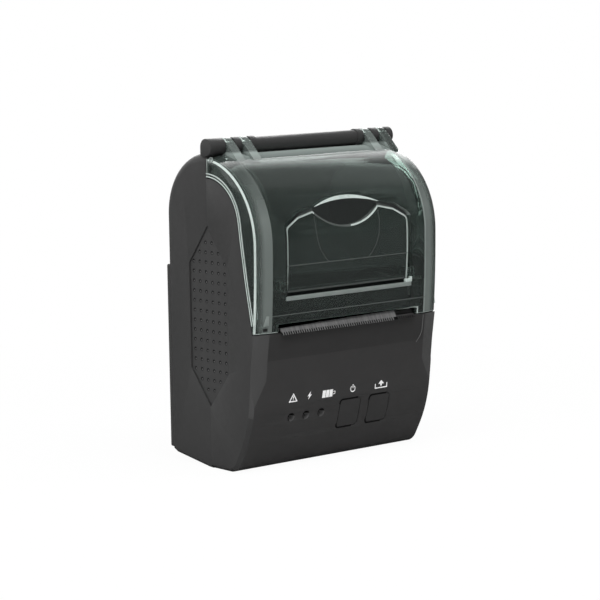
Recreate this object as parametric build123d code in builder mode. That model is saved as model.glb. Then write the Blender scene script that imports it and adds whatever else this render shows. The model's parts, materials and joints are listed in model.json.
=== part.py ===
from build123d import *
import math
import os

# Portable thermal printer for 58 mm paper, standing on its narrow end.
# X runs across the paper, Y from front to back and Z up. Sizes are in millimetres.
# The origin is in the middle of the footprint, on the surface that it stands on.

# Housing outline, seen from the side
width = 80.0
wall = 2.0
seam_y = 1.3
front_y = -24.5
back_y = 23.9
crown_top_z = 104.3
crown_radius = 21.1
heel_rise = 3.0
slope_start_y = 4.0
deck_z = 46.6
deck_front_y = -23.3
band_z = 37.6
band_front_y = -21.9
knee_z = 23.0
knee_front_y = -20.2
chin_z = 6.5
chin_front_y = -14.8
toe_y = -11.1
toe_radius = 6.0
rear_corner_radius = 3.0
front_corner = 1.2
strip_width = 5.6
strip_depth = 1.4
strip_end_z = 22.0
strip_knee_z = 31.0
strip_levels = ((deck_z, strip_width), (band_z, strip_width), (strip_knee_z, strip_width), (strip_end_z, 0))

# Running clearances
gap = 0.3
fit = 0.05

# Cover and the cheek edge that it closes on
cover_radius = 28.4
cover_top_z = 104.0
cover_wall = 2.0
cover_side_step = 1.3
cover_strip_width = 6.5
cheek_radius = 16.2
cheek_top_z = 96.5
cheek_sweep = 82.0
cheek_foot_y = -21.4
slot_side_room = 7.5
slot_height = 2.6

# Hinge
hinge_y = 1.2
hinge_z = 106.3
barrel_radius = 2.8
bar_radius = 2.4
collar_width = 2.5
pin_radius = 0.8
knuckle_width = 3.4
knuckle_insets = ((-1, 8.4), (-1, 15.3), (1, 11.3), (1, 4.4))
pin_end_margin = 1.2
arm_reach = 8.4
arm_lean = 30.0

# Window in the cover and the release lever in it
window_side_room = 10.7
window_sill_z = 57.4
window_side_z = 81.5
window_shoulder = (21.8, 85.0)
window_arch_foot = (14.0, 86.5)
window_arch_z = 89.4
shoulder_round = 2.5
lever_gap = 0.7
lever_recess = 1.2
lever_thickness = 1.6
lever_sill_z = 59.3
lever_side_z = 80.5
lever_shoulder = (21.0, 83.6)
lever_notch = (14.2, 85.1)
lever_notch_z = 79.6
lever_pivot_z = 61.6
lever_pivot_inset = 3.1
lever_pin_radius = 0.9
lever_pin_length = 1.8
lever_boss_radius = 2.0

# Platen, print head and drive
platen_y = -15.2
platen_z = 54.0
platen_radius = 5.0
paper_side_room = 9.1
shaft_radius = 2.0
journal_radius = 1.5
bush_radius = 3.0
gear_module = 0.5
platen_teeth = 18
idler_teeth = 24
pinion_teeth = 10
gear_room = 3.3
gear_width = 2.5
tooth_share = 0.40
tooth_root_share = 0.58
tooth_tip_share = 0.20
tooth_rise = 0.8
tooth_drop = 1.1
pinion_angle = -56.0
axle_radius = 1.0
motor_radius = 7.2
motor_length = 12.5
motor_shaft_radius = 0.8
frame_room = 7.3
frame_plate = 1.3
frame_front_y = -20.0
frame_back_y = 8.2
frame_base_z = 41.0
head_front_y = -19.0
head_back_y = -9.4
head_thickness = 1.0
heatsink_thickness = 2.4
ear_plate = 1.6
ear_radius = 4.2
guide_rise_share = 0.7
heatsink_grooves = 8
spring_leaf = 0.4
spring_width = 5.0

# Paper bay
roll_z = 80.5
tray_radius = 19.6
tray_wall = 1.0
tray_clearance = 0.5
tray_side_room = 8.4
tray_front_angle = 250.0
tray_back_angle = 365.0
tray_lug_y = 6.0
tray_lug_drop = 16.0
tray_lug_size = 4.0
bay_front_inset = 4.2
bay_foot_rise = 3.0
bay_head_z = 94.0
bay_rim_room = 3.8

# Tear bar and its teeth
tear_front_rise = 0.6
cutter_pitch = 1.3
cutter_depth = 0.7

# Keys and lamps in the panel
key_width = 8.9
key_height = 9.5
key_z = 15.9
key_places = (3.0, 16.0)
key_gap = 0.25
key_corner = 1.2
key_travel = 0.4
key_wall = 1.6
lamp_places = (-22.6, -16.2, -9.7)
lamp_z = 17.5
lamp_hole_radius = 1.45

# Main board and what is on it
board_y = -9.6
board_thickness = 1.2
board_side_room = 1.5
board_bottom_z = 11.0
board_top_z = 33.5
board_screw_room = 7.0
board_screw_margin = 3.3
switch_size = 6.0
switch_height = 3.4
plunger_radius = 1.6
port_z = 24.5
port_length = 5.6
port_height = 2.7
port_span = 7.6
chip_sites = ((-20.0, 26.0, 7.0, 7.0), (-6.0, 27.0, 5.0, 4.0), (8.0, 28.0, 9.0, 5.0), (22.0, 29.0, 4.0, 4.0))
chip_height = 1.1
buzzer_x = -18.0
buzzer_radius = 4.2
buzzer_height = 3.0
cable_width = 14.0
cable_thickness = 0.3
sensor_x = -8.0
sensor_size = 3.0

# Battery and its door
battery_side_room = 8.0
battery_thickness = 10.4
battery_bottom_z = 10.2
bay_clearance = 0.5
bay_wall = 1.2
contact_pitch = 4.0
contact_width = 1.6
contact_inset = 10.0
door_face_y = 24.5
door_thickness = 2.1
door_top_z = 66.3
door_bottom_z = 4.2
door_side_step = 0.5
door_corner = 1.2

# Grip inlays, feet and screws
grip_depth = 0.8
grip_thickness = 0.7
grip_top_z = 80.8
grip_bottom_z = 20.6
grip_shoulder_z = 67.9
grip_hip_z = 32.7
grip_half_depth = 10.1
grip_y = 1.2
foot_radius = 5.0
foot_side_room = 13.0
foot_y = 14.5
screw_radius = 1.0
screw_head_radius = 1.9
screw_head_height = 1.2
screw_length = 6.0
boss_radius = 2.6
case_screw_z = (7.0, 72.0)
case_boss_length = 9.0
frame_boss_room = 3.4
frame_boss_z = 41.0
frame_ear_y = -12.0

# Sizes that follow from the ones above
half_width = width / 2
inner_half = half_width - wall
knuckle_places = tuple(side * (half_width - inset) for side, inset in knuckle_insets)
slot_half_width = inner_half - slot_side_room
window_half_width = inner_half - window_side_room
paper_half_width = inner_half - paper_side_room
frame_plate_x = inner_half - frame_room
gear_x = inner_half - gear_room
tray_half_width = inner_half - tray_side_room
bay_rim_x = inner_half - bay_rim_room
bay_foot_z = platen_z + platen_radius + bay_foot_rise
board_half_width = inner_half - board_side_room
board_screw_x = inner_half - board_screw_room
board_screw_heights = (board_bottom_z + board_screw_margin, board_top_z - board_screw_margin)
door_half_width = half_width - door_side_step
foot_x = half_width - foot_side_room
frame_boss_x = inner_half - frame_boss_room
crown_y = back_y - crown_radius
crown_z = crown_top_z - crown_radius
cover_y = front_y + cover_radius
cover_z = cover_top_z - cover_radius
gear_end_x = gear_x + gear_width
platen_pitch_radius = gear_module * platen_teeth / 2
idler_pitch_radius = gear_module * idler_teeth / 2
pinion_pitch_radius = gear_module * pinion_teeth / 2
head_top_z = platen_z - platen_radius - gap
roll_y = back_y - wall - tray_clearance - tray_wall - tray_radius
battery_width = 2 * (inner_half - battery_side_room)
contact_x = battery_width / 2 - contact_inset
battery_top_z = roll_z - tray_radius - tray_wall - bay_wall - bay_clearance
battery_back_y = door_face_y - door_thickness - bay_clearance
battery_front_y = battery_back_y - battery_thickness
bay_half_width = battery_width / 2 + bay_clearance
bay_bottom_z = battery_bottom_z - bay_clearance
bay_top_z = battery_top_z + bay_clearance
bay_front_y = battery_front_y - gap
door_seat_y = door_face_y - door_thickness - gap
case_boss_x = inner_half - boss_radius + gap
lever_pivot_y = front_y + lever_pivot_inset
far = 200.0

# The platen leaves the idler squarely when the cover starts to open
hinge_to_platen = math.hypot(platen_y - hinge_y, platen_z - hinge_z)
mesh_one = platen_pitch_radius + idler_pitch_radius
mesh_two = idler_pitch_radius + pinion_pitch_radius
idler_y = platen_y + mesh_one * (hinge_z - platen_z) / hinge_to_platen
idler_z = platen_z + mesh_one * (platen_y - hinge_y) / hinge_to_platen
motor_y = idler_y + mesh_two * math.cos(math.radians(pinion_angle))
motor_z = idler_z + mesh_two * math.sin(math.radians(pinion_angle))

# Places that several of the drive's parts share
head_half_width = frame_plate_x - gap
sink_top_z = head_top_z - head_thickness
sink_bottom_z = sink_top_z - heatsink_thickness
guide_y = head_back_y + gap
bush_x = frame_plate_x + frame_plate + 2 * gap
board_back_y = board_y + board_thickness
platen_phase = math.degrees(math.atan2(idler_z - platen_z, idler_y - platen_y))

os.makedirs("parts", exist_ok=True)


def save(piece, name):
    piece.part.label = name
    export_step(piece.part, "parts/" + name + ".step")


def cheek_lines(inset):
    """The curved edge between cheek and cover, from its top down to the deck."""
    bow = CenterArc((seam_y, cheek_top_z - cheek_radius), cheek_radius - inset, 90, cheek_sweep)
    TangentArc(bow @ 1, (cheek_foot_y + inset, deck_z), tangent=bow % 1)
    return bow @ 0


def body_side(inset=0):
    """Side view of both housing halves, without the cover's region, drawn in by a wall."""
    with BuildSketch(Plane.YZ) as side:
        with BuildLine():
            top = cheek_lines(gap + inset)
            Polyline(top, (seam_y, crown_top_z - inset), (crown_y, crown_top_z - inset))
            CenterArc((crown_y, crown_z), crown_radius - inset, 0, 90)
            Polyline((back_y - inset, crown_z), (back_y - inset, heel_rise + inset), (slope_start_y, inset))
            Polyline((slope_start_y, inset), (toe_y + inset, inset), (chin_front_y + inset, chin_z))
            shin = (knee_front_y - band_front_y, knee_z - band_z)
            TangentArc((knee_front_y + inset, knee_z), (chin_front_y + inset, chin_z), tangent=shin)
            band = (band_front_y + inset, band_z)
            Polyline((knee_front_y + inset, knee_z), band, (deck_front_y + inset, deck_z))
            Line((deck_front_y + inset, deck_z), (cheek_foot_y + gap + inset, deck_z))
        make_face()
        toe = side.vertices().sort_by_distance((toe_y + inset, inset))[0]
        fillet(toe, toe_radius - inset)
    return side.sketch


def cover_face_lines(inset):
    """Front line of the cover, from the top of the arc to its lower edge."""
    bow = CenterArc((cover_y, cover_z), cover_radius - inset, 90, 90)
    lower = TangentArc(bow @ 1, (deck_front_y + inset, deck_z + gap), tangent=bow % 1)
    return bow @ 0, lower @ 1


def cover_side():
    """Side view of the closed cover, between its front line and the cheek edge."""
    with BuildSketch(Plane.YZ) as side:
        with BuildLine():
            top, foot = cover_face_lines(0)
            edge_top = cheek_lines(0)
            Line(top, edge_top)
            Polyline(foot, (cheek_foot_y, deck_z + gap), (cheek_foot_y, deck_z))
        make_face()
        with Locations((seam_y - gap, 0)):
            Rectangle(far, 2 * far, align=(Align.MIN, Align.CENTER), mode=Mode.SUBTRACT)
        with Locations((0, deck_z + gap)):
            Rectangle(far, far, align=(Align.CENTER, Align.MAX), mode=Mode.SUBTRACT)
    return side.sketch


def behind_cover_face(inset):
    """Everything behind the cover's front line, drawn in by a distance."""
    with BuildSketch(Plane.YZ) as side:
        with BuildLine():
            top, foot = cover_face_lines(inset)
            Polyline(top, (far, top.Y), (far, -far), (foot.X, -far), foot)
        make_face()
    return side.sketch


def cover_face_y(z):
    """How far forward the cover's front lies at a height on its arc or below it."""
    if z < cover_z:
        drop = cover_z - deck_z - gap
        return front_y + (deck_front_y - front_y) * ((cover_z - z) / drop) ** 2
    return cover_y - math.sqrt(cover_radius**2 - (z - cover_z) ** 2)


def panel_y(z):
    """How far forward the front panel lies at a height."""
    if z > band_z:
        share = (z - band_z) / (deck_z - band_z)
        return band_front_y + share * (deck_front_y - band_front_y)
    if z > knee_z:
        share = (z - knee_z) / (band_z - knee_z)
        return knee_front_y + share * (band_front_y - knee_front_y)
    share = (z - chin_z) / (knee_z - chin_z)
    return chin_front_y + share * (knee_front_y - chin_front_y)


def strip_plane(side, top, foot):
    """Plane of the facet that takes the panel's corner off, facing outwards."""
    inner = Vector(side * (half_width - top[1]), panel_y(top[0]), top[0])
    outer = Vector(side * half_width, panel_y(top[0]) + strip_depth, top[0])
    lower = Vector(side * (half_width - foot[1]), panel_y(foot[0]), foot[0])
    normal = (outer - inner).cross(lower - inner)
    if normal.Y > 0:
        normal = -normal
    return Plane(origin=inner, x_dir=outer - inner, z_dir=normal)


def strip_wedge(side, top, foot):
    """What that facet takes off the panel's corner, between two heights."""
    reach = wall + strip_width
    with BuildPart() as wedge:
        add_block((side * half_width - reach, side * half_width + reach), (-far, 0), (foot[0], top[0]))
        split(bisect_by=strip_plane(side, top, foot), keep=Keep.TOP)
    return wedge.part


def panel_skin(thickness):
    """The housing's outer skin, as one closed layer."""
    with BuildPart() as skin:
        extrude(body_side(), amount=half_width, both=True)
        extrude(body_side(thickness), amount=half_width, both=True, mode=Mode.SUBTRACT)
    return skin.part


def housing_block():
    """Everything inside the housing's outline."""
    with BuildPart() as block:
        extrude(body_side(), amount=half_width, both=True)
    return block.part


def cover_layer(inset, thickness):
    """A layer behind the cover's front, some way in."""
    with BuildPart() as layer:
        extrude(behind_cover_face(inset), amount=half_width, both=True)
        extrude(behind_cover_face(inset + thickness), amount=half_width, both=True, mode=Mode.SUBTRACT)
    return layer.part


def bar_face(y, z, radius, start):
    """A round section across X at one place."""
    with BuildSketch(Plane.YZ.offset(start)) as face:
        with Locations((y, z)):
            Circle(radius)
    return face.sketch


def add_bar(y, z, radius, start, length, mode=Mode.ADD):
    """A round bar or hole along X."""
    extrude(bar_face(y, z, radius, start), amount=length, mode=mode)


def add_post(x, z, radius, start_y, end_y, mode=Mode.ADD):
    """A round post or hole along Y."""
    with BuildSketch(Plane.XZ.offset(-start_y)) as face:
        with Locations((x, z)):
            Circle(radius)
    extrude(face.sketch, amount=start_y - end_y, mode=mode)


def add_block(x, y, z, mode=Mode.ADD):
    """A rectangular block between two limits in each direction."""
    with Locations(((x[0] + x[1]) / 2, (y[0] + y[1]) / 2, (z[0] + z[1]) / 2)):
        Box(x[1] - x[0], y[1] - y[0], z[1] - z[0], mode=mode)


def lug_spans():
    """The stretches of the hinge line that belong to the housing."""
    spans = []
    start = -half_width
    for place in knuckle_places:
        spans.append((start, place - knuckle_width / 2 - gap))
        start = place + knuckle_width / 2 + gap
    spans.append((start, half_width))
    return spans


def grip_outline(plane_x, shrink=0):
    """The long six-sided grip, seen from the side."""
    with BuildSketch(Plane.YZ.offset(plane_x)) as face:
        with BuildLine():
            Polyline(
                (grip_y, grip_top_z),
                (grip_y + grip_half_depth, grip_shoulder_z),
                (grip_y + grip_half_depth, grip_hip_z),
                (grip_y, grip_bottom_z),
                (grip_y - grip_half_depth, grip_hip_z),
                (grip_y - grip_half_depth, grip_shoulder_z),
                close=True,
            )
        make_face()
        if shrink:
            offset(amount=-shrink, kind=Kind.INTERSECTION)
    return face.sketch


def cut_grip_recesses():
    """Shallow seats for the grips in both sides."""
    extrude(grip_outline(half_width), amount=-grip_depth, mode=Mode.SUBTRACT)
    extrude(grip_outline(-half_width), amount=grip_depth, mode=Mode.SUBTRACT)


def key_outline(place, grow=0):
    """A key, seen from the front, standing on the front-most plane."""
    with BuildSketch(Plane.XZ.offset(-front_y)) as face:
        with Locations((place, key_z)):
            RectangleRounded(key_width + 2 * grow, key_height + 2 * grow, key_corner + grow)
    return face.sketch


def window_outline(half, sill, side, shoulder, arch_foot, arch_z):
    """A window shape with rounded shoulders, closed by an arc at the top."""
    with BuildSketch(Plane.XZ.offset(-front_y)) as face:
        with BuildLine():
            left_foot = (-arch_foot[0], arch_foot[1])
            Polyline(left_foot, (-shoulder[0], shoulder[1]), (-half, side), (-half, sill), (0, sill))
            Polyline((0, sill), (half, sill), (half, side), shoulder, arch_foot)
            ThreePointArc(left_foot, (0, arch_z), arch_foot)
        make_face()
        beyond_arch = (arch_foot[0] + shoulder[0]) / 2
        corners = vertices().filter_by(lambda corner: abs(corner.X) > beyond_arch)
        fillet(corners.filter_by(lambda corner: corner.Y > (sill + side) / 2), radius=shoulder_round)
    return face.sketch


def gear_blank(teeth, y, z, phase):
    """Toothed section of a gear across X, with a tooth centred on the phase angle."""
    pitch_radius = gear_module * teeth / 2
    tip_radius = pitch_radius + tooth_rise * gear_module
    root_radius = pitch_radius - tooth_drop * gear_module
    step = 360 / teeth
    root_half = step * tooth_root_share / 2
    tip_half = step * tooth_tip_share / 2
    corners = []
    for tooth in range(teeth):
        middle = phase + tooth * step
        for radius, turn in (
            (root_radius, -root_half),
            (pitch_radius, -step * tooth_share / 2),
            (tip_radius, -tip_half),
            (tip_radius, tip_half),
            (pitch_radius, step * tooth_share / 2),
            (root_radius, root_half),
        ):
            angle = math.radians(middle + turn)
            corners.append((y + radius * math.cos(angle), z + radius * math.sin(angle)))
    with BuildSketch(Plane.YZ.offset(gear_x)) as face:
        with BuildLine():
            Polyline(*corners, close=True)
        make_face()
    return face.sketch


def mating_phase(phase, teeth, direction, mate_teeth):
    """Phase that puts the mate's gaps on this gear's teeth."""
    step = 360 / teeth
    share = ((direction - phase) % step) / step
    return direction + 180 - (0.5 - share) * 360 / mate_teeth


# Rear housing half: crown, hinge line, battery bay and screw tubes
with BuildPart() as rear_shell:
    extrude(body_side(), amount=half_width, both=True)
    split(bisect_by=Plane.XZ.offset(-seam_y), keep=Keep.BOTTOM)
    rim = rear_shell.faces().filter_by(Axis.X).edges()
    rim = rim.filter_by(lambda edge: edge.center().Y > seam_y + gap and edge.center().Z > heel_rise)
    fillet(rim, rear_corner_radius)
    sole = rear_shell.edges().filter_by(lambda edge: edge.center().Z < heel_rise)
    sole = sole.filter_by(lambda edge: abs(edge.center().X) > inner_half)
    chamfer(sole.filter_by(lambda edge: edge.length > 2 * wall), front_corner)
    extrude(body_side(wall), amount=inner_half, both=True, mode=Mode.SUBTRACT)
    inner_x = (-inner_half, inner_half)
    add_block(inner_x, (seam_y, seam_y + 2 * wall), (deck_z, crown_top_z - wall), Mode.SUBTRACT)
    add_block(inner_x, (door_seat_y - wall, back_y - gap), (heel_rise + wall, door_top_z + wall))
    bay_x = (-bay_half_width - bay_wall, bay_half_width + bay_wall)
    bay_z = (bay_bottom_z - bay_wall, bay_top_z + bay_wall)
    add_block(bay_x, (bay_front_y - bay_wall, door_seat_y - gap), bay_z)
    add_block((-bay_half_width, bay_half_width), (bay_front_y, far), (bay_bottom_z, bay_top_z), Mode.SUBTRACT)
    for side in (-1, 1):
        for height in case_screw_z:
            add_post(side * case_boss_x, height, boss_radius, door_seat_y - gap, seam_y)
    recess = (door_bottom_z - gap, door_top_z + gap)
    add_block((-far, far), (door_seat_y, far), recess, Mode.SUBTRACT)
    for side in (-1, 1):
        for height in case_screw_z:
            add_post(side * case_boss_x, height, screw_radius + gap, far, -far, Mode.SUBTRACT)
            add_post(side * case_boss_x, height, screw_head_radius + gap, far, seam_y + wall, Mode.SUBTRACT)
    cut_grip_recesses()
    for side in (-1, 1):
        with BuildSketch():
            with Locations((side * foot_x, foot_y)):
                Circle(foot_radius + fit)
        extrude(amount=heel_rise, mode=Mode.SUBTRACT)
        with BuildSketch(Plane.XY.offset(heel_rise)):
            with Locations((side * foot_x, foot_y)):
                Circle(foot_radius + wall)
        extrude(amount=wall)
    for start, end in lug_spans():
        add_bar(hinge_y, hinge_z, bar_radius, start, end - start)
        web_y = (hinge_y + gap, hinge_y + barrel_radius)
        add_block((start, end), web_y, (crown_top_z - wall / 2, hinge_z))
        if end - start > 4 * collar_width:
            add_bar(hinge_y, hinge_z, barrel_radius, start, collar_width)
            add_bar(hinge_y, hinge_z, barrel_radius, end - collar_width, collar_width)
        else:
            add_bar(hinge_y, hinge_z, barrel_radius, start, end - start)
    for place in knuckle_places:
        free = knuckle_width + 2 * gap
        add_bar(hinge_y, hinge_z, barrel_radius + gap, place - free / 2, free, Mode.SUBTRACT)
    bore_length = width - 2 * pin_end_margin
    add_bar(hinge_y, hinge_z, pin_radius + fit / 2, pin_end_margin - half_width, bore_length, Mode.SUBTRACT)
save(rear_shell, "rear_shell")

# Front housing half: panel, cheeks and screw posts
corner_wedges = []
for side in (-1, 1):
    for top, foot in zip(strip_levels, strip_levels[1:]):
        corner_wedges.append(strip_wedge(side, top, foot))
with BuildPart() as front_shell:
    extrude(body_side(), amount=half_width, both=True)
    split(bisect_by=Plane.XZ.offset(-seam_y), keep=Keep.TOP)
    rim = front_shell.faces().filter_by(Axis.X).edges()
    rim = rim.filter_by(lambda edge: edge.center().Y < seam_y - gap and edge.center().Z < deck_z - gap)
    chamfer(rim, front_corner)
    for wedge in corner_wedges:
        add(wedge, mode=Mode.SUBTRACT)
    extrude(body_side(wall), amount=inner_half, both=True, mode=Mode.SUBTRACT)
    open_y = (deck_front_y + wall, seam_y + wall)
    add_block((-inner_half, inner_half), open_y, (deck_z - 2 * wall, far), Mode.SUBTRACT)
    for side in (-1, 1):
        for height in case_screw_z:
            add_post(side * case_boss_x, height, boss_radius, seam_y, seam_y - case_boss_length)
            add_post(side * case_boss_x, height, screw_radius, seam_y, seam_y - screw_length, Mode.SUBTRACT)
        boss_x = side * frame_boss_x
        add_post(boss_x, frame_boss_z, boss_radius, frame_ear_y, panel_y(frame_boss_z) + wall / 2)
        add_post(boss_x, frame_boss_z, screw_radius, frame_ear_y, frame_ear_y - screw_length, Mode.SUBTRACT)
        for height in board_screw_heights:
            add_post(side * board_screw_x, height, boss_radius, board_y, panel_y(height) + wall / 4)
            add_post(side * board_screw_x, height, screw_radius, board_y, board_y - wall, Mode.SUBTRACT)
    for place in lamp_places:
        add_post(place, lamp_z, lamp_hole_radius, board_y - switch_height, -far, Mode.SUBTRACT)
    for place in key_places:
        extrude(key_outline(place, key_gap), amount=-wall * 5, mode=Mode.SUBTRACT)
    port_y = (board_y - port_height - 2 * gap, board_y)
    add_block((0, far), port_y, (port_z - port_span / 2 - gap, port_z + port_span / 2 + gap), Mode.SUBTRACT)
    cut_grip_recesses()
save(front_shell, "front_shell")


def release_plate():
    """The lever's plate and pivot pins, before its ends are trimmed."""
    half = window_half_width - lever_gap
    return window_outline(half, lever_sill_z, lever_side_z, lever_shoulder, lever_notch, lever_notch_z)


def arm_corners():
    """Side view of a knuckle's arm, from the barrel down to the cover's crest."""
    lean = math.radians(arm_lean)
    foot_y = hinge_y - arm_reach
    foot_z = cover_z + math.sqrt(cover_radius**2 - (foot_y - cover_y) ** 2)
    return (
        (hinge_y - barrel_radius * math.sin(lean), hinge_z + barrel_radius * math.cos(lean)),
        (foot_y, foot_z),
        (foot_y, foot_z - cover_wall / 2),
        (hinge_y - barrel_radius, hinge_z - barrel_radius - cover_wall),
        (hinge_y, hinge_z - barrel_radius),
        (hinge_y, hinge_z),
    )


def ends_of(side, near, far_end):
    """Start and length along X of a stretch given for the right side, on either side."""
    start = near if side > 0 else -far_end
    return start, far_end - near


# Translucent cover over the paper bay
with BuildPart() as paper_cover:
    extrude(cover_side(), amount=half_width, both=True)
    for end in (paper_cover.faces().sort_by(Axis.X)[0], paper_cover.faces().sort_by(Axis.X)[-1]):
        long_edges = end.edges().filter_by(lambda edge: edge.length > cover_radius / 2)
        rim = long_edges.filter_by(lambda edge: cover_face_y((edge @ 0.5).Z) + gap > (edge @ 0.5).Y)
        chamfer(rim, length=cover_side_step, length2=cover_strip_width, reference=end)
    extrude(behind_cover_face(cover_wall), amount=inner_half, both=True, mode=Mode.SUBTRACT)
    slot_top = deck_z + slot_height
    add_block((-slot_half_width, slot_half_width), (-far, far), (0, slot_top), Mode.SUBTRACT)
    opening = window_outline(
        window_half_width, window_sill_z, window_side_z, window_shoulder, window_arch_foot, window_arch_z
    )
    extrude(opening, amount=-cover_radius / 2, mode=Mode.SUBTRACT)
    add_bar(hinge_y, hinge_z, barrel_radius + 1.5 * gap, -far, 2 * far, Mode.SUBTRACT)
    for place in knuckle_places:
        start = place - knuckle_width / 2
        add_bar(hinge_y, hinge_z, barrel_radius, start, knuckle_width)
        with BuildSketch(Plane.YZ.offset(start)):
            with BuildLine():
                Polyline(*arm_corners(), close=True)
            make_face()
        extrude(amount=knuckle_width)
    add_bar(hinge_y, hinge_z, pin_radius + 2 * fit, -far, 2 * far, Mode.SUBTRACT)
    for side in (-1, 1):
        ear_start, ear_length = ends_of(side, bush_x, bush_x + ear_plate)
        ear_face = cover_face_y(platen_z) + cover_wall - gap
        ear_z = (platen_z - ear_radius, platen_z + ear_radius)
        add_bar(platen_y, platen_z, ear_radius, ear_start, ear_length)
        add_block((ear_start, ear_start + ear_length), (ear_face, platen_y), ear_z)
        add_bar(platen_y, platen_z, bush_radius + fit / 2, ear_start, ear_length, Mode.SUBTRACT)
        boss_end = window_half_width + gap + lever_pin_length
        boss_start, boss_length = ends_of(side, window_half_width + gap, boss_end)
        add_bar(lever_pivot_y, lever_pivot_z, lever_boss_radius, boss_start, boss_length)
        hole_start, hole_length = ends_of(side, window_half_width, boss_end)
        add_bar(lever_pivot_y, lever_pivot_z, lever_pin_radius + fit, hole_start, hole_length, Mode.SUBTRACT)
save(paper_cover, "paper_cover")

# Release lever in the cover's window
lever_layer = cover_layer(lever_recess, lever_thickness)
with BuildPart() as release_lever:
    extrude(release_plate(), amount=-cover_radius / 2)
    add(lever_layer, mode=Mode.INTERSECT)
    for side in (-1, 1):
        pin_root = window_half_width - lever_gap - wall
        pin_start, pin_length = ends_of(side, pin_root, window_half_width + lever_pin_length)
        add_bar(lever_pivot_y, lever_pivot_z, lever_pin_radius, pin_start, pin_length)
save(release_lever, "release_lever")

# Hinge pins, one at each end of the hinge line
with BuildPart() as hinge_pins:
    long_bar = max(lug_spans(), key=lambda span: span[1] - span[0])
    left_end = long_bar[0] + collar_width
    right_start = long_bar[1] - collar_width
    pin_limit = half_width - pin_end_margin - gap
    add_bar(hinge_y, hinge_z, pin_radius, -pin_limit, left_end + pin_limit)
    add_bar(hinge_y, hinge_z, pin_radius, right_start, pin_limit - right_start)
save(hinge_pins, "hinge_pins")

# Grip inlays with their raised dots
for name, side in (("side_grip_left", -1), ("side_grip_right", 1)):
    with BuildPart() as side_grip:
        inner_face = side * (half_width - grip_depth)
        extrude(grip_outline(inner_face, fit), amount=side * grip_thickness)
    save(side_grip, name)

# Serrated tear bar under the paper slot
tear_back_y = deck_front_y + wall + gap
tear_front_y = deck_front_y - gap
tear_half_width = paper_half_width + gap
tear_top_z = deck_z + slot_height - 2 * gap
cutter_count = int(2 * tear_half_width / cutter_pitch)


def cutter_line():
    """Zigzag front edge of the tear bar, seen from above."""
    line = []
    start = -cutter_count * cutter_pitch / 2
    for tooth in range(cutter_count):
        line.append((start + tooth * cutter_pitch, tear_front_y + cutter_depth))
        line.append((start + (tooth + 0.5) * cutter_pitch, tear_front_y))
    line.append((-start, tear_front_y + cutter_depth))
    return line


with BuildPart() as tear_bar:
    with BuildSketch(Plane.YZ.offset(-tear_half_width)):
        with BuildLine():
            Polyline(
                (tear_front_y, deck_z + tear_front_rise),
                (tear_front_y + cutter_depth, deck_z + fit),
                (tear_back_y - gap / 2, deck_z + fit),
                (tear_back_y - gap / 2, deck_z - wall),
                (tear_back_y + wall / 2, deck_z - wall),
                (tear_back_y + wall / 2, tear_top_z),
                (tear_back_y, tear_top_z),
                close=True,
            )
        make_face()
    extrude(amount=2 * tear_half_width)
    with BuildSketch(Plane.XY.offset(deck_z)):
        with BuildLine():
            zigzag = cutter_line()
            Polyline(*zigzag, (zigzag[-1][0], -far), (zigzag[0][0], -far), close=True)
        make_face()
    extrude(amount=slot_height, mode=Mode.SUBTRACT)
save(tear_bar, "tear_bar")

# Keys, each with the stem that presses its switch
key_skin = panel_skin(key_wall)
inside_housing = housing_block()
for name, place in zip(("power_button", "feed_button"), key_places):
    with BuildPart() as key:
        extrude(key_outline(place), amount=-cover_radius / 2)
        add(key_skin, mode=Mode.INTERSECT)
        stem_top = board_y - switch_height - fit
        add_post(place, key_z, plunger_radius, stem_top, panel_y(knee_z) + key_wall)
        add(inside_housing, mode=Mode.INTERSECT)
    save(key, name)

def journal_way(half_slot, length):
    """The path by which a platen journal leaves the frame, squarely away from the idler."""
    way = Vector((platen_y - idler_y) / mesh_one, (platen_z - idler_z) / mesh_one)
    across = Vector(way.Y, -way.X)
    start = Vector(platen_y, platen_z)
    corners = (start + across * half_slot, start - across * half_slot)
    ends = (corners[1] + way * length, corners[0] + way * length)
    return [(corner.X, corner.Y) for corner in corners + ends]


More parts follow.
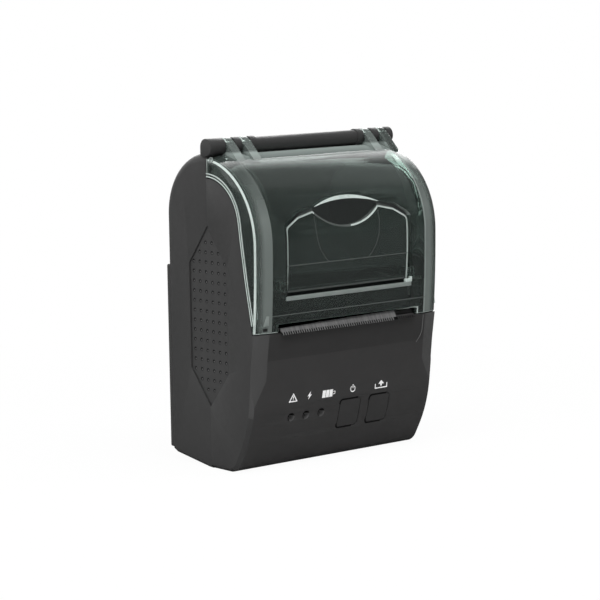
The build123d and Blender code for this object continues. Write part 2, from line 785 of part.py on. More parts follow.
# Frame that carries the print head, the motor and the gears
with BuildPart() as mechanism_frame:
    for side in (-1, 1):
        start, plate_length = ends_of(side, frame_plate_x, frame_plate_x + frame_plate)
        with BuildSketch(Plane.YZ.offset(start)):
            with BuildLine():
                Polyline(
                    (frame_front_y, frame_base_z - wall),
                    (motor_y - motor_radius, motor_z - motor_radius - wall / 2),
                    (frame_back_y, motor_z - motor_radius - wall / 2),
                    (frame_back_y, motor_z + motor_radius),
                    (idler_y + axle_radius, platen_z + platen_radius),
                    (platen_y + platen_radius - wall / 2, platen_z + platen_radius),
                    (platen_y + journal_radius, platen_z + journal_radius + wall),
                    (frame_front_y, platen_z - journal_radius),
                    close=True,
                )
            make_face()
        extrude(amount=plate_length)
        ear_start, ear_length = ends_of(side, frame_plate_x + frame_plate, inner_half - gap)
        ear_z = (frame_boss_z - boss_radius - gap, frame_boss_z + boss_radius + gap)
        add_block((ear_start, ear_start + ear_length), (frame_ear_y, frame_ear_y + frame_plate), ear_z)
        add_post(side * frame_boss_x, frame_boss_z, screw_radius + gap, far, -far, Mode.SUBTRACT)
    span = (-frame_plate_x, frame_plate_x)
    add_block(span, (frame_front_y, head_back_y + wall / 2), (frame_base_z, frame_base_z + frame_plate))
    with BuildSketch(Plane.YZ.offset(-frame_plate_x)):
        with BuildLine():
            guide_top = (platen_y + 2 * platen_radius - gap, platen_z + guide_rise_share * platen_radius)
            Polyline(
                (guide_y, frame_base_z),
                (guide_y, head_top_z),
                guide_top,
                (guide_top[0] + tray_wall, guide_top[1]),
                (guide_y + tray_wall, head_top_z),
                (guide_y + tray_wall, frame_base_z),
                close=True,
            )
        make_face()
    extrude(amount=2 * frame_plate_x)
    for side in (-1, 1):
        start, slot_depth = ends_of(side, frame_plate_x - gap, frame_plate_x + frame_plate + gap)
        add_bar(platen_y, platen_z, journal_radius + 2 * gap, start, slot_depth, Mode.SUBTRACT)
        with BuildSketch(Plane.YZ.offset(start)):
            with BuildLine():
                Polyline(*journal_way(journal_radius + 2 * gap, 3 * platen_radius), close=True)
            make_face()
        extrude(amount=slot_depth, mode=Mode.SUBTRACT)
    add_bar(motor_y, motor_z, 2 * motor_shaft_radius, frame_plate_x - gap, far, Mode.SUBTRACT)
    add_bar(idler_y, idler_z, axle_radius, frame_plate_x - gap, far, Mode.SUBTRACT)
save(mechanism_frame, "mechanism_frame")

# Print head: ceramic strip, heat sink and the spring that presses it up
with BuildPart() as print_head:
    head_x = (-head_half_width, head_half_width)
    add_block(head_x, (head_front_y, head_back_y), (sink_top_z, head_top_z))
save(print_head, "print_head")
with BuildPart() as head_heatsink:
    add_block((-head_half_width, head_half_width), (head_front_y, head_back_y), (sink_bottom_z, sink_top_z))
    groove_step = 2 * head_half_width / heatsink_grooves
    with BuildSketch(Plane.XY.offset(sink_bottom_z)):
        with Locations((0, (head_front_y + head_back_y) / 2)):
            with GridLocations(groove_step, 0, heatsink_grooves, 1):
                Rectangle(groove_step / 4, head_back_y - head_front_y)
    extrude(amount=heatsink_thickness / 3, mode=Mode.SUBTRACT)
save(head_heatsink, "head_heatsink")
spring_foot_z = frame_base_z + frame_plate
spring_y = (head_front_y + head_back_y) / 2
spring_half = 2 * spring_width
spring_inner = spring_half - spring_leaf
with BuildPart() as head_spring:
    with BuildSketch(Plane.XZ.offset(-spring_y)):
        with BuildLine():
            top = (0, sink_bottom_z)
            under = (0, sink_bottom_z - spring_leaf)
            ThreePointArc((-spring_half, spring_foot_z), top, (spring_half, spring_foot_z))
            ThreePointArc((-spring_inner, spring_foot_z), under, (spring_inner, spring_foot_z))
            Line((-spring_half, spring_foot_z), (-spring_inner, spring_foot_z))
            Line((spring_half, spring_foot_z), (spring_inner, spring_foot_z))
        make_face()
    extrude(amount=spring_width / 2, both=True)
save(head_spring, "head_spring")

# Platen roller with its bushes and gear
with BuildPart() as platen_rubber:
    add_bar(platen_y, platen_z, platen_radius, -paper_half_width, 2 * paper_half_width)
    add_bar(platen_y, platen_z, shaft_radius, -far, 2 * far, Mode.SUBTRACT)
save(platen_rubber, "platen_rubber")
with BuildPart() as platen_shaft:
    shaft_half = (frame_plate_x + paper_half_width) / 2
    add_bar(platen_y, platen_z, shaft_radius, -shaft_half, 2 * shaft_half)
    journal_left = -bush_x - ear_plate - gap
    add_bar(platen_y, platen_z, journal_radius, journal_left, gear_end_x - journal_left)
save(platen_shaft, "platen_shaft")
with BuildPart() as platen_bushes:
    for start in (bush_x, -bush_x - ear_plate):
        add_bar(platen_y, platen_z, bush_radius, start, ear_plate)
        add_bar(platen_y, platen_z, journal_radius + fit, start, ear_plate, Mode.SUBTRACT)
save(platen_bushes, "platen_bushes")
idler_phase = mating_phase(platen_phase, platen_teeth, platen_phase, idler_teeth)
pinion_phase = mating_phase(idler_phase, idler_teeth, pinion_angle, pinion_teeth)
with BuildPart() as platen_gear:
    extrude(gear_blank(platen_teeth, platen_y, platen_z, platen_phase), amount=gear_width)
    add_bar(platen_y, platen_z, journal_radius, -far, 2 * far, Mode.SUBTRACT)
save(platen_gear, "platen_gear")
with BuildPart() as idler_gear:
    extrude(gear_blank(idler_teeth, idler_y, idler_z, idler_phase), amount=gear_width)
    hub_start = frame_plate_x + frame_plate + gap
    add_bar(idler_y, idler_z, 2 * axle_radius, hub_start, gear_x - hub_start)
    add_bar(idler_y, idler_z, axle_radius + fit, -far, 2 * far, Mode.SUBTRACT)
save(idler_gear, "idler_gear")
with BuildPart() as idler_axle:
    axle_end = gear_end_x + gap
    add_bar(idler_y, idler_z, axle_radius, frame_plate_x, axle_end - frame_plate_x)
    add_bar(idler_y, idler_z, 1.5 * axle_radius, axle_end, gap)
save(idler_axle, "idler_axle")
with BuildPart() as motor_pinion:
    extrude(gear_blank(pinion_teeth, motor_y, motor_z, pinion_phase), amount=gear_width)
    add_bar(motor_y, motor_z, motor_shaft_radius, frame_plate_x - wall, gear_x - frame_plate_x + wall)
save(motor_pinion, "motor_pinion")
with BuildPart() as stepper_motor:
    add_bar(motor_y, motor_z, motor_radius, frame_plate_x - motor_length, motor_length)
    add_bar(motor_y, motor_z, motor_shaft_radius + fit, frame_plate_x - 2 * wall, far, Mode.SUBTRACT)
    rear_face = stepper_motor.faces().sort_by(Axis.X)[0]
    chamfer(rear_face.edges(), wall / 4)
save(stepper_motor, "stepper_motor")


def bay_disc(start, inset):
    """The part of a bay side wall that lies in front of the roll's middle."""
    with BuildSketch(Plane.YZ.offset(start)) as face:
        with Locations((cover_y, cover_z)):
            Circle(cover_radius - bay_front_inset - inset)
        with Locations((roll_y, bay_foot_z)):
            Rectangle(far, far, align=(Align.MAX, Align.MIN), mode=Mode.INTERSECT)
    return face.sketch


# Tray that the paper roll lies in, with the walls beside the roll
with BuildPart() as paper_tray:
    with BuildSketch(Plane.YZ.offset(-tray_half_width - tray_wall)):
        with BuildLine():
            sweep_angle = tray_back_angle - tray_front_angle
            outer = CenterArc((roll_y, roll_z), tray_radius + tray_wall, tray_front_angle, sweep_angle)
            inner = CenterArc((roll_y, roll_z), tray_radius, tray_front_angle, sweep_angle)
            Line(outer @ 0, inner @ 0)
            Line(outer @ 1, inner @ 1)
        make_face()
    extrude(amount=2 * (tray_half_width + tray_wall))
    for side in (-1, 1):
        start, rim_length = ends_of(side, tray_half_width, bay_rim_x)
        extrude(bay_disc(start, 0), amount=rim_length)
        start, hollow_length = ends_of(side, tray_half_width + tray_wall, bay_rim_x)
        extrude(bay_disc(start, tray_wall), amount=hollow_length, mode=Mode.SUBTRACT)
        add_block((start, start + hollow_length), (-far, far), (bay_head_z, far), Mode.SUBTRACT)
        start, cheek_length = ends_of(side, tray_half_width, tray_half_width + tray_wall)
        add_bar(roll_y, roll_z, tray_radius + tray_wall / 2, start, cheek_length)
        lug_start, lug_length = ends_of(side, tray_half_width, inner_half - fit)
        lug_y = (roll_y + tray_lug_y, roll_y + tray_lug_y + tray_lug_size)
        lug_z = (roll_z - tray_lug_drop, roll_z - tray_lug_drop + tray_lug_size)
        add_block((lug_start, lug_start + lug_length), lug_y, lug_z)
save(paper_tray, "paper_tray")

# Main board and the parts soldered to it
with BuildPart() as main_board:
    add_block((-board_half_width, board_half_width), (board_y, board_back_y), (board_bottom_z, board_top_z))
    for side in (-1, 1):
        for height in board_screw_heights:
            add_post(side * board_screw_x, height, screw_radius + gap / 3, far, -far, Mode.SUBTRACT)
save(main_board, "main_board")
with BuildPart() as key_switches:
    half_switch = switch_size / 2
    for place in key_places:
        body_y = (board_y - switch_height + key_travel + gap, board_y)
        body_z = (key_z - half_switch, key_z + half_switch)
        add_block((place - half_switch, place + half_switch), body_y, body_z)
save(key_switches, "key_switches")
with BuildPart() as status_leds:
    for place in lamp_places:
        add_post(place, lamp_z, lamp_hole_radius, board_y, board_y - switch_height + wall / 2)
save(status_leds, "status_leds")
with BuildPart() as usb_port:
    port_end = half_width - wall / 2
    port_sides = (port_z - port_span / 2, port_z + port_span / 2)
    add_block((port_end - port_length, port_end), (board_y - port_height, board_y), port_sides)
    add_block(
        (port_end - port_length + wall, port_end),
        (board_y - port_height + gap, board_y - gap),
        (port_sides[0] + gap, port_sides[1] - gap),
        Mode.SUBTRACT,
    )
save(usb_port, "usb_port")
with BuildPart() as board_chips:
    for chip_x, chip_z, chip_width, chip_tall in chip_sites:
        chip_span = (chip_x - chip_width / 2, chip_x + chip_width / 2)
        chip_rows = (chip_z - chip_tall / 2, chip_z + chip_tall / 2)
        add_block(chip_span, (board_back_y, board_back_y + chip_height), chip_rows)
save(board_chips, "board_chips")
with BuildPart() as buzzer:
    buzzer_z = board_bottom_z + buzzer_radius + gap
    add_post(buzzer_x, buzzer_z, buzzer_radius, board_back_y + buzzer_height, board_back_y)
save(buzzer, "buzzer")
with BuildPart() as head_cable:
    with BuildSketch(Plane.YZ.offset(-cable_width / 2)):
        with BuildLine():
            cable_y = board_back_y + cable_thickness
            Polyline(
                (board_back_y, board_top_z - wall),
                (cable_y, board_top_z - wall),
                (cable_y, frame_base_z - gap),
                (board_back_y, frame_base_z - gap),
                close=True,
            )
        make_face()
    extrude(amount=cable_width)
save(head_cable, "head_cable")
with BuildPart() as paper_sensor:
    sensor_y = guide_y + tray_wall
    sensor_z = (head_top_z - 1.5 * sensor_size, head_top_z - sensor_size / 2)
    add_block((sensor_x, sensor_x + sensor_size), (sensor_y, sensor_y + sensor_size / 2), sensor_z)
save(paper_sensor, "paper_sensor")

# Battery, its contacts and its door
with BuildPart() as battery_pack:
    battery_x = (-battery_width / 2, battery_width / 2)
    battery_z = (battery_bottom_z, battery_top_z)
    add_block(battery_x, (battery_front_y, battery_back_y), battery_z)
    fillet(battery_pack.edges().filter_by(Axis.X), wall)
    fillet(battery_pack.edges().filter_by(GeomType.LINE).filter_by(Axis.Y), wall / 2)
save(battery_pack, "battery_pack")
with BuildPart() as battery_contacts:
    for step in (-1, 0, 1):
        middle = contact_x + step * contact_pitch
        add_block(
            (middle - contact_width / 2, middle + contact_width / 2),
            (battery_front_y + wall, battery_front_y + 2 * wall),
            (bay_top_z - bay_clearance, bay_top_z),
        )
save(battery_contacts, "battery_contacts")
with BuildPart() as battery_door:
    door_x = (-door_half_width, door_half_width)
    add_block(door_x, (door_face_y - door_thickness, door_face_y), (door_bottom_z, door_top_z))
    fillet(battery_door.edges().filter_by(Axis.Z), door_corner / 2)
    fillet(battery_door.faces().sort_by(Axis.Y)[-1].edges(), door_corner / 2)
save(battery_door, "battery_door")

# Feet under the rear edge
with BuildPart() as rear_feet:
    for side in (-1, 1):
        with BuildSketch():
            with Locations((side * foot_x, foot_y)):
                Circle(foot_radius)
        extrude(amount=heel_rise)
save(rear_feet, "rear_feet")


def add_screw(x, z, head_y):
    """A screw driven from the back towards the front, with its head at head_y."""
    add_post(x, z, screw_head_radius, head_y + screw_head_height, head_y)
    add_post(x, z, screw_radius - fit, head_y, head_y - screw_length)


# Screws
with BuildPart() as case_screws:
    for side in (-1, 1):
        for height in case_screw_z:
            add_screw(side * case_boss_x, height, seam_y + wall)
save(case_screws, "case_screws")
with BuildPart() as frame_screws:
    for side in (-1, 1):
        add_screw(side * frame_boss_x, frame_boss_z, frame_ear_y + frame_plate)
save(frame_screws, "frame_screws")
with BuildPart() as board_screws:
    for side in (-1, 1):
        for height in board_screw_heights:
            screw_x = side * board_screw_x
            add_post(screw_x, height, screw_head_radius, board_back_y + screw_head_height, board_back_y)
            add_post(screw_x, height, screw_radius - fit, board_back_y, board_y - wall + gap)
save(board_screws, "board_screws")
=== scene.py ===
import bpy
import json
import math
from mathutils import Matrix, Vector

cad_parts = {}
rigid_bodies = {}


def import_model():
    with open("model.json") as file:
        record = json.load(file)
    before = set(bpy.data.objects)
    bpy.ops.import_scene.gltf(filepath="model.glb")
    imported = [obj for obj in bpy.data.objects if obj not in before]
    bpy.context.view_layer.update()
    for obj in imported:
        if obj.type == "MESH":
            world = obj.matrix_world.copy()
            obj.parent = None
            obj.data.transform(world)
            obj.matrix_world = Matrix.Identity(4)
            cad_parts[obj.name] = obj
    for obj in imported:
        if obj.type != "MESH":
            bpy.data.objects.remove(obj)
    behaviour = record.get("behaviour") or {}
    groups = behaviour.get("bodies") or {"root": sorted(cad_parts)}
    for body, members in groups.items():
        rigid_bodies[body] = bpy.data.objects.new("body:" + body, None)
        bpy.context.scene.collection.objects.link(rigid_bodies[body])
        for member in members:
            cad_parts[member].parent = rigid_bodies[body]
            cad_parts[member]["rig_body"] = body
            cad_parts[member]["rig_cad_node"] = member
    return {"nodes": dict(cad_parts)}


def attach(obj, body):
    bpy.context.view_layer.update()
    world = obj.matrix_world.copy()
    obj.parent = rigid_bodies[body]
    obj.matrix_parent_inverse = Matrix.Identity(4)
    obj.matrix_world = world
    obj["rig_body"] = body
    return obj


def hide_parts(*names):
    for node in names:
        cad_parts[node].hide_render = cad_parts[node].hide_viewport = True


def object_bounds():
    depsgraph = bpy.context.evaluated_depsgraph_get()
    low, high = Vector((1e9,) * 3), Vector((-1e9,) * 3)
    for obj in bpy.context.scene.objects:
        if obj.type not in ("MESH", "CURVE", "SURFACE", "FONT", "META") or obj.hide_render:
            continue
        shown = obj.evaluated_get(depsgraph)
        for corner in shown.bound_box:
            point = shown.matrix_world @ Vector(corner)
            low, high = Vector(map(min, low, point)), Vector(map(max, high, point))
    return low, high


# A portable thermal printer with a smoked, see-through paper cover, standing on its narrow end.
# X runs across the paper, Y from front to back and Z up. Everything is in metres.
MM = 0.001

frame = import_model()
cad_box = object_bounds()
bpy.ops.object.select_all(action="DESELECT")

# Places that the pieces below share, in millimetres, the first two from the frame's own box
FRONT_Y = round(cad_box[0][1] / MM, 3)
HALF_WIDTH = round(cad_box[1][0] / MM, 3)
DECK_Z, DECK_Y = 46.6, -23.3
BAND_Z, BAND_Y = 37.6, -21.9
KNEE_Z, KNEE_Y = 23.0, -20.2
SHIN_Y, SHIN_Z, SHIN_RADIUS = 23.1, 28.05, 43.6
SEAM_GAP = 0.3

# Where two faces meet more sharply than this, their edge stays hard
SMOOTH_ANGLE = math.radians(26)

# The housing: how far its rounded edges reach, and where the panel and its side strips lie
SHELL_ROUNDING = 0.25
PANEL_HALF_X = 34.5
STRIP_FOOT_Z = 20.0
PANEL_LINE = ((33.4, 46.2), (33.4, 41.0), (33.0, 39.4), (32.3, 38.3), (31.3, 37.1))

# The cover, its hinge, its slanted side strips and its window
COVER_RADIUS = 28.4
COVER_TOP_Z = 104.0
COVER_AXIS_Y = FRONT_Y + COVER_RADIUS
COVER_AXIS_Z = COVER_TOP_Z - COVER_RADIUS
COVER_WALL = 1.7
COVER_RIM_Z = 52.4
COVER_RIM_HALF_X = 34.0
COVER_STRIP_X = 33.5
STRIP_INSET = 1.3
SIDE_SINK = 0.15
HINGE_Y, HINGE_Z = 1.2, 106.3
KNUCKLE_RADII = (2.6, 2.9)
WINDOW_HALF_X = 27.6
WINDOW_TOP = (78.0, 92.0)
CHEEK_Y, CHEEK_Z, CHEEK_RADIUS = 1.3, 80.3, 16.2
CHEEK_TURN = 172
CHEEK_FOOT_Y = -21.4
CHEEK_STEPS = 24

# The trim on the cover
RIDGE_INSETS = (0.1, 1.05)
RIDGE_WIDTH = 0.4
RIDGE_DEPTH = 0.6
RIDGE_FOOT_Z = 49.0
REAR_RIDGE = ((0.55, 96.9), (0.95, 96.9), (0.95, 102.6), (0.55, 102.6))
BOSS_PLACE = (-1.4, 102.3)
BOSS_RADII = (0.9, 0.6)
BOSS_DEPTH = 0.4
SILL_BAR = ((-27.8, 56.9), (27.2, 56.9), (27.2, 58.3), (-27.8, 58.3))
STOP_BLOCK = ((24.6, 58.3), (27.5, 58.3), (27.5, 60.0), (26.7, 60.0), (26.7, 59.4), (24.6, 59.4))
CRESCENT_TOP = ((0.0, 53.94), 35.46, 113.3, 66.7)
CRESCENT_FOOT = ((0.0, 32.9), 55.3, 104.6, 75.4)
CORNER_BLOCK = ((-36.7, 49.4), (-34.2, 49.4), (-34.2, 52.7), (-35.6, 52.7))
CORNER_SLOT = ((-36.6, 47.7), (-33.4, 47.7), (-33.4, 48.7), (-36.6, 48.7))
CORNER_INSET = 0.35
GUIDE_RIBS = (((-25.4, 55.8), (-24.8, 52.0), (-26.7, 49.3)), ((28.4, 56.4), (28.3, 52.0), (27.6, 49.6)))
RIB_WIDTH = 0.45
RIB_INSET = 1.9
WINDOW_LIP = ((24.6, 81.7), (19.3, 84.7), (13.8, 86.3), (14.2, 84.9), (20.7, 83.3), (25.1, 80.3))

# The release lever
LEVER_RECESS = 1.2
LEVER_HALF_X = 26.61
LEVER_REACH = (0.9, 26.7)
LEVER_CREASE_Z = 68.1
LEVER_DIP = 0.05
LEVER_BORDER = 0.6
LEVER_SHOULDER_Z = 78.0
LEVER_FOOT_Z, LEVER_FOOT_HALF_X = 58.8, 25.5
NOTCH_SHADE = (-13.6, 1.0)
SCOOP_LINE = ((14.0, 83.4), (14.0, 80.0), (13.5, 75.7), (12.2, 72.2), (10.4, 69.8), (8.6, 68.2))
SCOOP_HALF_WIDTH = 0.1
SIDE_LINE_X = (26.0, 26.6)
SIDE_LINE_STARTS = (58.3, 60.9)
SIDE_LINE_LENGTH = 2.6

# The tear bar: a blade and the toothed carrier on its right
BLADE_TOP_Z, BLADE_TOP_Y, BLADE_SLOPE = 49.0, -22.7, 0.585
BLADE_ENDS, BLADE_HEAD_Z = (-29.9, 20.4), 48.95
COMB_ENDS, COMB_HEAD_Z = (20.5, 28.8), 47.35
BLADE_CORNER = (0.5, 0.35)
TOOTH_PITCH = 0.98
TOOTH_ROOT_Z, TOOTH_TIP_Z = 46.95, 45.98
TOOTH_ROOTS, TOOTH_TIPS = (0.2, 0.68), (0.3, 0.58)
TEETH_MARGIN = 0.2
TEETH_SHADE = ((-29.7, 46.05), (28.6, 46.05), (28.6, 46.9), (-29.7, 46.9))
CARRIER = ((-22.3, 46.65), (-20.95, 46.65), (-20.95, 44.6), (-19.95, 44.6), (-19.95, 48.5), (-22.3, 48.5))
CARRIER_START_X, CARRIER_LENGTH = -29.0, 58.0

# The keys and lamps, and the symbols over them
LAMPS = (-22.6, -16.2, -9.7)
LAMP_Z = 17.5
WELL_RADII = (0.45, 1.46)
WELL_DEPTH = 1.5
KEYS = (3.0, 16.0)
KEY_HALF_WIDTH = 4.5
KEY_LEVELS = (10.85, 20.75)
KEY_CORNER = 1.3
KEY_GROOVE = 0.55
SYMBOL_LINE = 0.34
TRIANGLE = ((-24.0, 22.85), (-20.8, 22.85), (-22.4, 25.35))
TRIANGLE_STROKES = ((((-22.4, 24.5), (-22.4, 24.0)), 0.32), (((-22.4, 23.4), (-22.4, 23.38)), 0.3))
BOLT_X, BOLT_Z = -15.4, 24.05
BOLT = ((0.55, 1.35), (-0.95, -0.25), (-0.1, -0.2), (-0.55, -1.35), (0.95, 0.3), (0.15, 0.25))
CELL_STARTS = (-9.9, -8.35, -6.8)
CELL_FOOT_Z, CELL_TOP_Z = 22.45, 24.9
CELL_WIDTH, CELL_LEAN = 1.35, 0.25
CELL_TIP = ((-5.0, 23.25), (-4.35, 23.3), (-4.25, 24.1), (-4.9, 24.15))
POWER_PLACE, POWER_RADIUS = (3.6, 24.0), 0.98
POWER_STROKE = ((3.6, 24.35), (3.6, 25.35))
FEED_TRAY = ((13.7, 24.2), (13.7, 22.85), (18.9, 22.85), (18.9, 24.2))
FEED_HEAD = ((15.0, 24.15), (17.6, 24.15), (16.3, 25.4))
FEED_STEM = ((16.3, 24.2), (16.3, 23.75))

# The grips: an upright six-sided outline with rows of dots
GRIP_Y = 1.2
GRIP_OUTLINE = ((1.2, 80.7), (11.2, 67.9), (11.2, 32.7), (1.2, 20.7), (-8.8, 32.7), (-8.8, 67.9))
GRIP_BACK_X = HALF_WIDTH - 0.78
GRIP_FACE_X = 39.5
GRIP_ROWS = 16
GRIP_PITCH = 3.26
GRIP_TOP_DOT_Z = 75.1
# Each dot is a near-black disc of painted shade, with a smaller grey disc beside it as its painted highlight
GRIP_DOT_RADIUS, GRIP_DOT_DEPTH = 0.6, 0.08
GRIP_SPOT_RADIUS, GRIP_SPOT_DEPTH = 0.3, 0.1
GRIP_SPOT_PLACE = (0.03, -0.17, -0.1)

# The camera, as fitted to the photograph: its angles in degrees, its distance and target in
# millimetres, and its focal length in pixels
CAMERA_AZIMUTH, CAMERA_ELEVATION, CAMERA_ROLL = -40.0, 7.6, -0.91
CAMERA_DISTANCE = 797.72
CAMERA_TARGET = (-5.2, -4.0, 53.28)
FOCAL_PIXELS, PHOTO_PIXELS = 2373.4, 600
SENSOR_WIDTH = 36.0

# The studio: how bright its surroundings are, and how much of the floor's shadow fades to white
AMBIENT = 0.3
SHADOW_SHARE = 0.96

# Tints that finishes share
NEUTRAL = (1.0, 1.0, 1.0)
WARM = (1.0, 0.98, 0.98)
SMOKE = (0.33, 0.40, 0.37)

# Where the painted highlight on the cover's crest rises and where it fades again, in metres above the floor
CREST_RISE = (0.1005, 0.1037)
CREST_FALL = (0.1041, 0.1047)

# Where painted light turns the cover's strips pale, lower down and near the top: across and upwards, in
# metres
LOWER_PAINTED_LIGHT = ((0.0388, 0.0362), (0.099, 0.084))
UPPER_PAINTED_LIGHT = ((0.0352, 0.0338), (0.091, 0.1))

# How deep the grain of plastics is, in metres
FINE_GRAIN = 0.00001
SMOOTH_GRAIN = 0.000004


class Wire:
    """A shader value that plain sums can be written with."""

    def __init__(self, tree, socket):
        self.tree = tree
        self.socket = socket

    def sum_with(self, operation, other, swapped=False):
        node = self.tree.nodes.new("ShaderNodeMath")
        node.operation = operation
        first, second = (other, self) if swapped else (self, other)
        for value, entry in zip((first, second), node.inputs):
            if isinstance(value, Wire):
                self.tree.links.new(value.socket, entry)
            else:
                entry.default_value = value
        return Wire(self.tree, node.outputs[0])

    def __add__(self, other):
        return self.sum_with("ADD", other)

    def __sub__(self, other):
        return self.sum_with("SUBTRACT", other)

    def __rsub__(self, other):
        return self.sum_with("SUBTRACT", other, swapped=True)

    def __mul__(self, other):
        return self.sum_with("MULTIPLY", other)

    __radd__ = __add__
    __rmul__ = __mul__


class Finish:
    """A material under construction, with its Principled shader."""

    def __init__(self, name, **fixed):
        self.material = bpy.data.materials.new(name)
        self.material.use_nodes = True
        self.tree = self.material.node_tree
        self.shader = self.tree.nodes["Principled BSDF"]
        for key, value in fixed.items():
            self.shader.inputs[key.replace("_", " ")].default_value = value

    def add(self, kind, output=0, settings=None, **inputs):
        """Adds a node of any kind and returns one of its outputs."""
        node = self.tree.nodes.new("ShaderNode" + kind)
        for key, value in (settings or {}).items():
            setattr(node, key, value)
        for key, value in inputs.items():
            self.feed(node.inputs[key.replace("_", " ")], value)
        return Wire(self.tree, node.outputs[output])

    def feed(self, entry, value):
        if isinstance(value, Wire):
            self.tree.links.new(value.socket, entry)
        else:
            entry.default_value = value

    def set(self, **inputs):
        """Feeds the Principled shader's own sockets."""
        for key, value in inputs.items():
            self.feed(self.shader.inputs[key.replace("_", " ")], value)

    def place(self, scale):
        """The piece's own coordinates, stretched."""
        return self.add("Mapping", Vector=self.add("TexCoord", output="Object"), Scale=scale)

    def axes(self):
        """The three parts of the piece's own coordinates, in metres."""
        outputs = self.add("SeparateXYZ", Vector=self.add("TexCoord", output="Object")).socket.node.outputs
        return [Wire(self.tree, outputs[axis]) for axis in "XYZ"]

    def mix(self, share, first, second):
        """A shader between two others."""
        mixer = self.add("MixShader").socket.node
        for entry, value in zip(mixer.inputs, (share, first, second)):
            self.feed(entry, value)
        return Wire(self.tree, mixer.outputs[0])

    def end_with(self, shader):
        """Makes a shader the one that the material shows."""
        self.feed(self.tree.nodes["Material Output"].inputs[0], shader)

    def own_shader(self):
        """The principled shader's output."""
        return Wire(self.tree, self.shader.outputs[0])

    def noise(self, scale, detail=4.0, roughness=0.5, where=None):
        where = where or self.add("TexCoord", output="Object")
        return self.add("TexNoise", Vector=where, Scale=scale, Detail=detail, Roughness=roughness)

    def spread(self, value, low, high, to_low, to_high):
        """Stretches a value from one range to another, within its ends."""
        inputs = {"From_Min": low, "From_Max": high, "To_Min": to_low, "To_Max": to_high}
        return self.add("MapRange", Value=value, **inputs)

    def blend(self, share, first, second):
        """A colour between two others."""
        node = self.add("Mix", settings={"data_type": "RGBA"}).socket.node
        self.feed(node.inputs["Factor"], share)
        colours = [entry for entry in node.inputs if entry.type == "RGBA"]
        self.feed(colours[0], first)
        self.feed(colours[1], second)
        return Wire(self.tree, [exit for exit in node.outputs if exit.type == "RGBA"][0])

    def bump(self, height, distance, strength=1.0):
        normal = self.add("Bump", Height=height, Distance=distance, Strength=strength)
        self.set(Normal=normal)


def grey(value, tint=(1, 1, 1)):
    return (value * tint[0], value * tint[1], value * tint[2], 1)


def moulded_plastic(name, shade, tint, roughness, grain=0.00002, level=0.5):
    """Moulded plastic with a fine spark-eroded grain and faint handling marks."""
    finish = Finish(name, Specular_IOR_Level=level)
    clouds = finish.noise(90, detail=3)
    finish.set(Base_Color=finish.blend(clouds, grey(shade * 0.92, tint), grey(shade * 1.08, tint)))
    rubbed = finish.noise(420, detail=5, roughness=0.65)
    finish.set(Roughness=finish.spread(rubbed, 0.35, 0.7, roughness - 0.05, roughness + 0.06))
    spark = finish.noise(5200, detail=2)
    finish.bump(spark, grain, strength=0.5)
    return finish.material


def mix_with_painted_light(finish, share, colour):
    """Blends a finish with a pale matt one, as painted light where clear plastic gathers light."""
    finish.end_with(finish.mix(share, finish.own_shader(), finish.add("BsdfDiffuse", Color=colour)))


def smoked_plastic(name, tint, roughness, clearness):
    """Clear smoked plastic, a little uneven from moulding, with a painted pale highlight along the cover's
    crest.
    """
    finish = Finish(name, Transmission_Weight=clearness, IOR=1.46, Specular_IOR_Level=0.5)
    clouds = finish.noise(60, detail=2)
    deep = (tint[0] * 0.94, tint[1] * 0.95, tint[2] * 0.95, 1)
    finish.set(Base_Color=finish.blend(clouds, deep, (*tint, 1)))
    haze = finish.noise(160, detail=4)
    finish.set(Roughness=finish.spread(haze, 0.3, 0.7, roughness, roughness + 0.03))
    # A painted highlight: a pale share that rises and falls with height over the crest
    height = finish.axes()[2]
    crest = finish.spread(height, *CREST_RISE, 0.0, 0.8) * finish.spread(height, *CREST_FALL, 1.0, 0.3)
    mix_with_painted_light(finish, crest, (0.26, 0.3, 0.285, 1))
    return finish.material


def painted_edge_highlight(name, shade, roughness):
    """Cloudy pale green, painted on as the highlight that clear plastic shows along an edge."""
    finish = Finish(name, Specular_IOR_Level=0.5, Coat_Weight=0.3)
    streaks = finish.noise(260, detail=3)
    dim = grey(shade * 0.82, (0.84, 1.0, 0.93))
    finish.set(Base_Color=finish.blend(streaks, dim, grey(shade * 1.1, (0.9, 1.0, 0.96))))
    finish.set(Roughness=finish.spread(streaks, 0.3, 0.7, roughness, roughness + 0.1))
    return finish.material


def strip_plastic(name, tint):
    """Smoked plastic painted pale towards its front corner and its foot, as painted light that its bent edge
    gathers.
    """
    finish = Finish(name, Transmission_Weight=0.93, IOR=1.46, Specular_IOR_Level=0.5, Roughness=0.05)
    clouds = finish.noise(60, detail=2)
    finish.set(Base_Color=finish.blend(clouds, grey(0.94, tint), grey(1.0, tint)))
    sideways, _, height = finish.axes()
    across = sideways.sum_with("ABSOLUTE", 0.0)
    wide, high = LOWER_PAINTED_LIGHT
    lower = finish.spread(across, *wide, 0.0, 1.0) * finish.spread(height, *high, 0.05, 1.0)
    wide, high = UPPER_PAINTED_LIGHT
    upper = finish.spread(across, *wide, 0.0, 1.0) * finish.spread(height, *high, 0.0, 1.0)
    # Painted light: the pale share grows towards the strip's front corner, lower down and near the top
    mix_with_painted_light(finish, lower * 0.9 + upper * 0.3, (0.13, 0.148, 0.14, 1))
    return finish.material


def streaked_face(name, shade):
    """A grey face with fine upright streaks from cutting."""
    finish = Finish(name, Specular_IOR_Level=0.4)
    lines = finish.noise(1.0, detail=3, where=finish.place((2400, 60, 60)))
    sharp = finish.spread(lines, 0.35, 0.65, 0.0, 1.0)
    finish.set(Base_Color=finish.blend(sharp, grey(shade * 0.72), grey(shade * 1.25)))
    finish.set(Roughness=finish.spread(lines, 0.3, 0.7, 0.34, 0.5))
    return finish.material


